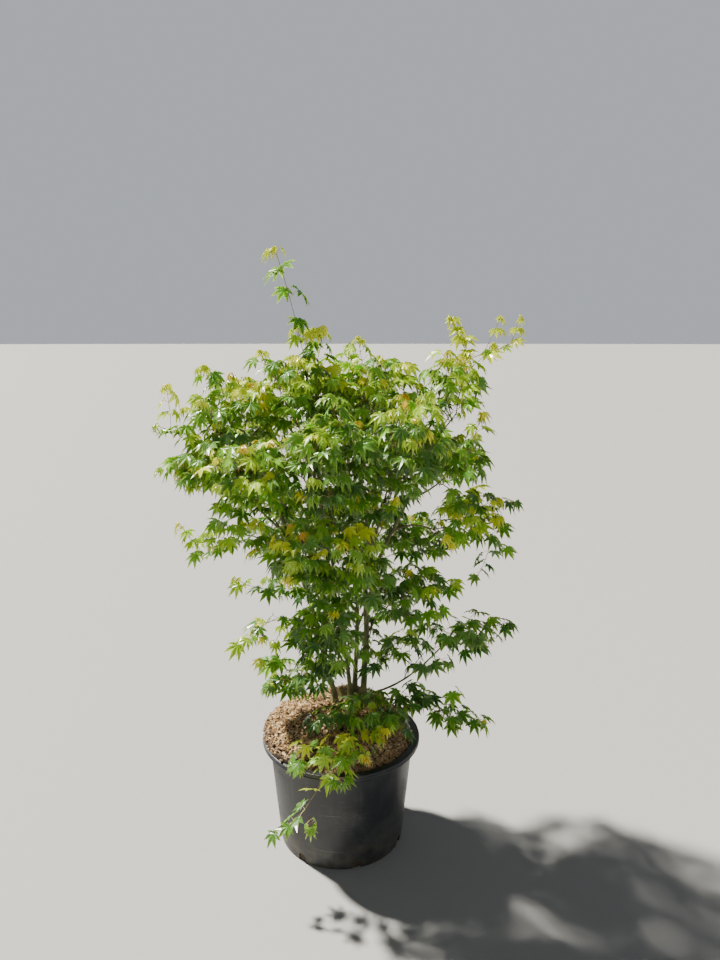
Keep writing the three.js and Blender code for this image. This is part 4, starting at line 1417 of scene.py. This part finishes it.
twigs = {"twigs_old": ([], []), "twigs_young": ([], [])}
for plan, nodes, _ in trees.values():
    tip_radius = float(limbs[plan["on"]]["radii"][-1])
    swell = math.log(tip_radius / TWIG_TIP) / math.log(max(2, nodes[0]["load"]))
    for row in twig_rows(nodes):
        loads = [nodes[row[min(i + 1, len(row) - 1)]]["load"] for i in range(len(row))]
        radii = [TWIG_TIP * load ** min(0.5, swell) for load in loads]
        if row[0] == 0 and "at" not in plan:
            radii[0] = tip_radius
        places = [nodes[i]["place"] for i in row]
        old = loads[0] > YOUNG_LOAD
        points, faces = twigs["twigs_old" if old else "twigs_young"]
        more_points, more_faces = tube(places, radii, OLD_SIDES if old else YOUNG_SIDES, len(points))
        points.extend(more_points)
        faces.extend(more_faces)

young_bark = bark("young_bark", (0.22, 0.15, 0.06), (0.2, 0.09, 0.045), (0.4, 0.34, 0.15))
twig_bark = {"twigs_old": bough_bark, "twigs_young": young_bark}
for name, (points, faces) in twigs.items():
    dress(joined(name, points, faces), twig_bark[name], "bough_bark")

# %% [markdown]
# A leaf has seven pointed lobes round the end of its stalk: three long ones, two shorter, two small.
# Each lobe is folded up a little along its midrib, and its point hangs. A sheet cut to this outline
# would need many faces, and four to a lobe show the same. A second skin close below closes the leaf, so
# that it is a body and not a sheet. The shapes are one long and are sized later. Real leaves differ, so
# there is a flat, a cupped and a young one.

# %% The shape of a leaf
LOBE_TURNS = (-124, -80, -40, 0, 40, 80, 124)
LOBE_LENGTHS = (0.3, 0.66, 0.9, 1.0, 0.9, 0.66, 0.3)
LOBE_WIDEST = 0.5
LOBE_BREADTH = (0.45, 0.55)
NOTCH_REACH = 0.42
NOTCH_BY_LOBES = (0.35, 0.65)
BACK_NOTCH = 0.07
LEAF_THICK = 0.016
FOLD = 0.06
POINT_DROP = 0.02


def leaf_shape(breadth, droop, spread):
    """Points and faces of a leaf whose middle lobe is one long, ahead along X, face up."""
    lobes = [math.radians(turn * spread) for turn in LOBE_TURNS]
    points = [(0, 0, 0), (0, 0, -LEAF_THICK)]
    top, under = 0, 1

    def put(reach, turn, aside, lift):
        """Add a point some way out at a turn, some way aside and up, and tell its number."""
        x = reach * math.cos(turn) - aside * math.sin(turn)
        y = reach * math.sin(turn) + aside * math.cos(turn)
        points.append((x, y, lift - droop * (x * x + y * y)))
        return len(points) - 1

    notches = [put(BACK_NOTCH, math.pi, 0, 0)]
    for turn, after, near, far in zip(lobes, lobes[1:], LOBE_LENGTHS, LOBE_LENGTHS[1:]):
        reach = NOTCH_REACH * (NOTCH_BY_LOBES[0] + NOTCH_BY_LOBES[1] * min(near, far))
        notches.append(put(reach, (turn + after) / 2, 0, FOLD * 0.6))
    notches.append(notches[0])
    faces = []
    for turn, reach, right, left in zip(lobes, LOBE_LENGTHS, notches, notches[1:]):
        wide = breadth * (LOBE_BREADTH[0] + LOBE_BREADTH[1] * reach)
        middle = put(LOBE_WIDEST * reach, turn, 0, 0)
        below = put(LOBE_WIDEST * reach, turn, 0, -LEAF_THICK)
        out_right = put(LOBE_WIDEST * reach, turn, -wide, FOLD)
        out_left = put(LOBE_WIDEST * reach, turn, wide, FOLD)
        tip = put(reach, turn, 0, -POINT_DROP)
        faces += [[top, right, out_right, middle], [middle, out_right, tip]]
        faces += [[middle, tip, out_left], [top, middle, out_left, left]]
        faces += [[under, below, out_right, right], [below, tip, out_right]]
        faces += [[below, out_left, tip], [under, left, out_left, below]]
    return np.array(points, dtype=float), faces


SHAPES = {
    "flat": leaf_shape(0.15, 0.16, 1.0),
    "cupped": leaf_shape(0.145, 0.38, 0.9),
    "young": leaf_shape(0.11, 0.5, 0.74),
}
print("a leaf has", len(SHAPES["flat"][1]), "faces")

# %% [markdown]
# Light and shade are painted into the leaves' colour: deep green low and inside, where shade falls, and
# yellow green at the top and outside, where light falls. Gold or coral on the youngest pair of a bright
# tip is the young leaves' own colour. Noise on one green would tint leaves by where they hang, and a real
# leaf is of one colour. So nine tints are dealt out by an amount of painted light. Each tint is given by
# its colour, its slot, and the light up to which it is used.

# %% Light and tint
TINTS = {
    "leaves_deep": ((0.022, 0.062, 0.012), "leaf_deep_green", 0.14),
    "leaves_forest": ((0.034, 0.098, 0.014), "leaf_deep_green", 0.27),
    "leaves_mid": ((0.056, 0.152, 0.016), "leaf_mid_green", 0.42),
    "leaves_fresh": ((0.086, 0.23, 0.018), "leaf_bright_green", 0.55),
    "leaves_bright": ((0.17, 0.37, 0.02), "leaf_bright_green", 0.67),
    "leaves_lime": ((0.33, 0.53, 0.018), "leaf_yellow_green", 0.79),
    "leaves_yellow": ((0.54, 0.64, 0.018), "leaf_yellow_green", 9.0),
    "leaves_gold": ((0.7, 0.69, 0.018), "leaf_young_gold", None),
    "leaves_coral": ((0.66, 0.41, 0.022), "leaf_young_gold", None),
}
LEAST_LIGHT = 0.14
LIGHT_BY_HEIGHT = 0.27
LIGHT_OUTSIDE = 0.2
LIGHT_ABOVE = 0.17
CROWN_FOOT = 0.45
CROWN_TOP = 1.6
CROWN_MIDDLE = (0.01, 0.05)
CROWN_REACH = 0.5
BRIGHT = 0.5
GOLD_BELOW_LIGHT = 0.16
GOLD_SHARE = 0.84


def painted_light_at(place, plan):
    """How much light is painted into a leaf's colour at a place, from its height, its distance from the
    middle, and its mass.
    """
    height = float(smoothstep(place[2], CROWN_FOOT, CROWN_TOP))
    outside = min(1.0, math.hypot(place[0] - CROWN_MIDDLE[0], place[1] - CROWN_MIDDLE[1]) / CROWN_REACH)
    above = (place[2] - plan["middle"][2]) / plan["half"][2]
    light = LEAST_LIGHT + LIGHT_BY_HEIGHT * height + LIGHT_OUTSIDE * outside + LIGHT_ABOVE * above
    return light + plan.get("light", 0.0)


def tint_for(light):
    """The name of the tint for an amount of light."""
    return next(tint for tint, (_, _, most) in TINTS.items() if most is not None and light < most)


def youngest_tint(tint, light, random):
    """The tint of the last pair of a shoot: gold or coral where it is bright, or else its own."""
    if light > BRIGHT and random() < light - GOLD_BELOW_LIGHT:
        return "leaves_gold" if random() < GOLD_SHARE else "leaves_coral"
    return tint


print(len(TINTS), "tints of leaves")

# %% [markdown]
# A leaf's stalk reaches out and a little up, and the blade hangs from its end, point outwards and
# down. A leaf that would touch a limb, the pot or the heap, or leave the plant's space, is tried again
# on a way that strays further from its own. If no try finds room, the leaf is left out. All leaves
# could be placed first and the wrong ones removed, but then more of the pairs would be torn.

# %% Find room for a leaf
LEAF_TRIES = 9
STRAY_FIRST = 0.35
STRAY_MORE = 1.4
STRAY_UPWARDS = 0.3
GROWN_SIZE = (0.036, 0.054)
YOUNG_SIZE = (0.022, 0.038)
STALK_SHARE = (0.38, 0.72)
HANG = (0.15, 1.35)
YOUNG_HANG = (0.6, 1.6)
FACE_OUT = 0.2
ROLL = 0.7
LEAF_ROOM = 0.004
SPACE_EDGE = 0.020
LEAF_PROBES = np.array([[1, 0, 0], [0.5, 0, 0], [0.35, 0.7, 0], [0.35, -0.7, 0]])

low_corner = np.array([cad_box[0][0] - SPACE_EDGE, cad_box[0][1] - SPACE_EDGE, LEAF_ROOM])
high_corner = np.array(cad_box[1]) + SPACE_EDGE
sorted_leaves = {tint: {shape: [] for shape in SHAPES} for tint in TINTS}
stalks = []


def one_of(limits, random):
    """A random number between two limits."""
    return limits[0] + (limits[1] - limits[0]) * random()


def leaf_axes(way, outward, hang, random):
    """Axes of a leaf: ahead along its middle lobe, across it, and out of its face."""
    flat = unit(np.array([way[0], way[1], 0.0]))
    ahead = unit(flat + FACE_OUT * outward - np.array([0, 0, one_of(hang, random)]))
    across = unit(np.cross(UP, ahead))
    normal = np.cross(ahead, across)
    roll = ROLL * (2 * random() - 1)
    turned = across * math.cos(roll) + normal * math.sin(roll)
    return np.array([ahead, turned, np.cross(ahead, turned)])


def has_room(junction, axes, size):
    """Whether a leaf stays in the plant's space and clear of the limbs, the pot and the heap."""
    probes = junction + size * LEAF_PROBES @ axes
    if (probes < low_corner).any() or (probes > high_corner).any():
        return False
    return not any(near_limb(spot, LEAF_ROOM) or in_pot(spot, LEAF_ROOM) for spot in (*probes, junction))


def place_leaf(start, direction, outward, kind, tint, larger, random):
    """Put one leaf on its stalk if there is room, straying further from its own way at each try."""
    sizes, hang = (YOUNG_SIZE, YOUNG_HANG) if kind == "young" else (GROWN_SIZE, HANG)
    for attempt in range(LEAF_TRIES):
        stray = STRAY_FIRST + STRAY_MORE * attempt / LEAF_TRIES
        aside = np.array([random() - 0.5, random() - 0.5, STRAY_UPWARDS * (random() - 0.5)])
        way = direction + aside * stray
        size = one_of(sizes, random) * larger
        junction = start + unit(way) * (size * one_of(STALK_SHARE, random))
        axes = leaf_axes(way, outward, hang, random)
        if has_room(junction, axes, size):
            sorted_leaves[tint][kind].append((junction, axes, size))
            stalks.append((start, junction, unit(way), axes[0]))
            return


print("leaves from", YOUNG_SIZE[0], "to", GROWN_SIZE[1], "metres, if the plan doesn't change that")

# %% [markdown]
# Maple leaves stand in pairs, one at each side of every node of a young shoot, and the next pair
# crosses it where the shoot stands upright. A tip carries one more pair, smaller and younger. All
# leaves of one spray share a mood, a little brighter or darker than the light says, as real sprays do.
# Leaves scattered over a surface would be quicker, but they would hang on nothing.

# %% Place the leaves
LEAF_LOAD = 4
MOOD = 0.5
YOUNG_SHARE = 0.7
FLAT_SHARE = 0.6
TIP_BRIGHTER = 0.1
UPRIGHT = 0.4
PAIR_AHEAD = 0.6
OUTWARD = 0.3
PAIR_RISE = np.array([0, 0, 0.25])
BUD_AHEAD = 0.004
LAST_AHEAD = 1.2
LAST_ASIDE = 0.35


def leaf_directions(node, outward, crosswise):
    """The two ways of a pair of leaves."""
    across = np.cross(node["along"], UP)
    if length(across) < UPRIGHT:
        across = np.cross(outward, UP)
        if crosswise:
            across = np.cross(across, UP)
    across = unit(across)
    return [side * across + PAIR_AHEAD * node["along"] + OUTWARD * outward + PAIR_RISE for side in (1, -1)]


def leaf_kind(at_tip, light, random):
    """Young leaves at most bright tips, and flat or cupped ones elsewhere."""
    if at_tip and light > BRIGHT and random() < YOUNG_SHARE:
        return "young"
    return "flat" if random() < FLAT_SHARE else "cupped"


for plan, nodes, random in trees.values():
    larger = plan.get("larger", 1.0)
    moods = {}
    has_shoot = {node["parent"] for node in nodes}
    for index, node in enumerate(nodes):
        if index < 2 or node["load"] > LEAF_LOAD:
            continue
        if node["spray"] not in moods:
            moods[node["spray"]] = MOOD * (random() - 0.5)
        outward = unit((node["place"] - plan["middle"]) * np.array([1, 1, 0]))
        # The tint paints the light and shade that fall on the leaf, with the spray's mood and one brighter
        # step at a tip.
        light = painted_light_at(node["place"], plan) + moods[node["spray"]]
        at_tip = index not in has_shoot
        kind = leaf_kind(at_tip, light, random)
        tint = tint_for(light + (TIP_BRIGHTER if at_tip else 0))
        for direction in leaf_directions(node, outward, index % 2):
            if random() < plan.get("leafy", 1.0):
                place_leaf(node["place"], direction, outward, kind, tint, larger, random)
        if at_tip:
            tint = youngest_tint(tint, light, random)
            bud = node["place"] + node["along"] * BUD_AHEAD
            for side in leaf_directions(node, outward, not index % 2):
                way = node["along"] * LAST_AHEAD + side * LAST_ASIDE
                place_leaf(bud, way, outward, "young", tint, larger, random)
print(sum(len(group) for kinds in sorted_leaves.values() for group in kinds.values()), "leaves")

# %% [markdown]
# All leaves of one tint become one mesh. Thousands of objects would be slow, so the array of a leaf's
# points is turned, sized and moved for every leaf at once, and the faces count on from leaf to leaf.
# The finish is a plain satin colour, with a little light let through, because a thin leaf glows when
# lit from behind.

# %% Join the leaves by tint
GLOW = 0.3
GLOW_DEPTH = 0.004
GLOW_COLOUR = (0.6, 1.0, 0.2)
BLADE_ROUGHNESS = 0.32

nodes_of_slot = {}
for part in frame["record"]["subparts"]:
    nodes_of_slot.setdefault(part["material_slot"], []).append(part["node"])


def many(shape, group):
    """Points and faces of one shape repeated for a group of junctions, axes and sizes."""
    points, faces = shape
    junctions, axes, sizes = [np.array(column) for column in zip(*group)]
    placed = junctions[:, None] + sizes[:, None, None] * (points[None] @ axes)
    counted = [[corner + len(points) * i for corner in face] for i in range(len(group)) for face in faces]
    return placed.reshape(-1, 3).tolist(), counted


for tint, (colour, slot, _) in TINTS.items():
    points, faces = [], []
    for kind, group in sorted_leaves[tint].items():
        if group:
            more_points, more_faces = many(SHAPES[kind], group)
            faces += [[corner + len(points) for corner in face] for face in more_faces]
            points += more_points
    blade = plain(tint, colour, BLADE_ROUGHNESS)
    shader = blade.node_tree.nodes["Principled BSDF"]
    shader.inputs["Specular IOR Level"].default_value = 0.5
    shader.inputs["Subsurface Weight"].default_value = GLOW
    shader.inputs["Subsurface Radius"].default_value = GLOW_COLOUR
    shader.inputs["Subsurface Scale"].default_value = GLOW_DEPTH
    dress(joined(tint, points, faces), blade, slot, nodes_of_slot[slot])

# %% [markdown]
# A leaf stalk is a thread that leaves the twig, arches over and ends under the blade. The stalks of
# this maple are reddish, some greener. A thread of one millimetre needs no round section, so three
# sides and three rings are enough, and the tubes are all made at once.

# %% Make the stalks
STALK_RADII = np.array([0.00085, 0.0006, 0.0006])
STALK_TURNS = np.radians([90, 210, 330])
BEND_SHARE = 0.55
BEND_RISE = np.array([0, 0, 0.08])
UNDER_BLADE = 0.001

starts, ends, ways, blades = [np.array(column) for column in zip(*stalks)]
reach = np.linalg.norm(ends - starts, axis=1)[:, None]
bends = starts + ways * reach * BEND_SHARE + BEND_RISE * reach
lines = np.stack([starts, bends, ends - blades * UNDER_BLADE], axis=1)
side = np.cross(ways, UP)
side /= np.maximum(np.linalg.norm(side, axis=1, keepdims=True), TINY)
lift = np.cross(ways, side)
ring = np.cos(STALK_TURNS)[:, None] * side[:, None] + np.sin(STALK_TURNS)[:, None] * lift[:, None]
tubes = lines[:, :, None] + STALK_RADII[None, :, None, None] * ring[:, None]
stalk_faces = [[2, 1, 0], [6, 7, 8]]
for near in (0, 3):
    for start in range(3):
        after = (start + 1) % 3
        stalk_faces.append([near + start, near + after, near + 3 + after, near + 3 + start])
faces = [[corner + 9 * i for corner in face] for i in range(len(tubes)) for face in stalk_faces]
stalk_finish = plain("leaf_stalk", (0.4, 0.17, 0.07), 0.5)
patches = between(stalk_finish, grain(stalk_finish, 12), 0.4, 0.6)
lead(stalk_finish, tinted(stalk_finish, patches, (0.42, 0.14, 0.06), (0.34, 0.36, 0.09)), "Base Color")
dress(joined("leaf_stalks", tubes.reshape(-1, 3).tolist(), faces), stalk_finish, "bough_bark")

# %% [markdown]
# The plant stands on a plain pale studio floor, a disc so wide that its far edge is the horizon. A
# curved backdrop would do for one view, but a disc serves from every side. It is marked as a stage, so
# that it isn't part of the plant.

# %% Floor
FLOOR_REACH = 300
FLOOR_GREY = (0.38, 0.376, 0.371)

bpy.ops.mesh.primitive_circle_add(vertices=96, radius=FLOOR_REACH, fill_type="NGON", location=(0, 0, 0))
floor = named("studio_floor")
floor.data.materials.append(plain("studio_floor", FLOOR_GREY, 0.8))
floor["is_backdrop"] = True
print("floor", 2 * FLOOR_REACH, "metres across")

# %% [markdown]
# The world is the backdrop and also lights the plant from all sides. One even grey would flatten the
# leaves, so it is bright near the horizon and dim overhead. Its white is slightly blue, as open shade is.

# %% Backdrop
WORLD_WHITE = (0.86, 0.9, 0.96, 1)
HORIZON_STRENGTH = 0.54
OVERHEAD_STRENGTH = 0.06
FADE_FROM = 0.38
FADE_TO = 0.58

world = bpy.data.worlds.new("studio")
bpy.context.scene.world = world
world.use_nodes = True
upwards = add(world, "TexCoord", {}).outputs["Generated"]
height = add(world, "SeparateXYZ", {"Vector": upwards}).outputs["Z"]
strength = between(world, height, FADE_FROM, FADE_TO, HORIZON_STRENGTH, OVERHEAD_STRENGTH)
background = world.node_tree.nodes["Background"]
background.inputs["Color"].default_value = WORLD_WHITE
world.node_tree.links.new(strength, background.inputs["Strength"])
print("backdrop from", HORIZON_STRENGTH, "at the horizon to", OVERHEAD_STRENGTH, "overhead")

# %% [markdown]
# The photograph's light comes from high up behind the plant, on its left, so leaves glow at the top and
# the shadow falls to the front and right. A broad area lamp there would lose the glints on the leaves,
# so a sun lamp is used. Its light comes from a disc four degrees wide, where the real sun's is half a
# degree, which makes the edges of shadows softer. A weak, broad area lamp at the front opens the shade.

# %% Lights
LOOK_AT = (0, 0, 0.9)
SUN_WIDTH = math.radians(4)


def lamp(name, kind, place, power, colour, **settings):
    """A soft lamp that looks at the middle of the plant."""
    bpy.ops.object.light_add(type=kind, location=place)
    light = named(name)
    light.data.energy = power
    light.data.color = colour
    for setting, value in settings.items():
        setattr(light.data, setting, value)
    way = np.array(LOOK_AT) - np.array(place)
    light.rotation_euler.x = math.atan2(math.hypot(way[0], way[1]), -way[2])
    light.rotation_euler.z = math.atan2(way[1], way[0]) - math.pi / 2
    print(name, kind, "with strength", power)


lamp("key", "SUN", (-2.1, 1.5, 4.2), 12.8, (1.0, 0.95, 0.84), angle=SUN_WIDTH)
lamp("fill", "AREA", (1.0, -3.8, 2.6), 10, (0.93, 0.97, 1.0), size=2.6)

# %% [markdown]
# The camera stands at eye height, two metres in front of the pot and a little to its right, and looks
# down by eleven degrees, through a phone's main lens. These values were worked out from the
# photograph's perspective. Moving the camera about until the picture fits would be guesswork.

# %% Camera
CAMERA_PLACE = (0.059, -2.08, 1.55)
CAMERA_DOWN = 10.99
LENS = 27.04
SENSOR_WIDTH = 36

turned = (math.radians(90 - CAMERA_DOWN), 0, 0)
bpy.ops.object.camera_add(location=CAMERA_PLACE, rotation=turned)
camera = named("camera")
camera.data.lens = LENS
camera.data.sensor_width = SENSOR_WIDTH
bpy.context.scene.camera = camera
print("camera at", CAMERA_PLACE, "looks down by", CAMERA_DOWN, "degrees")

# %% [markdown]
# Last, the dressed plant is measured as the plain model was at the start, and both boxes are written down.
# If they nearly agree, the visible plant is as large as the plain one. The scene could be judged by eye
# alone, but a few millimetres too much can't be seen.

# %% Measure and finish
visual_box = [list(corner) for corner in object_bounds()]
print("visual model from", visual_box[0], "to", visual_box[1])
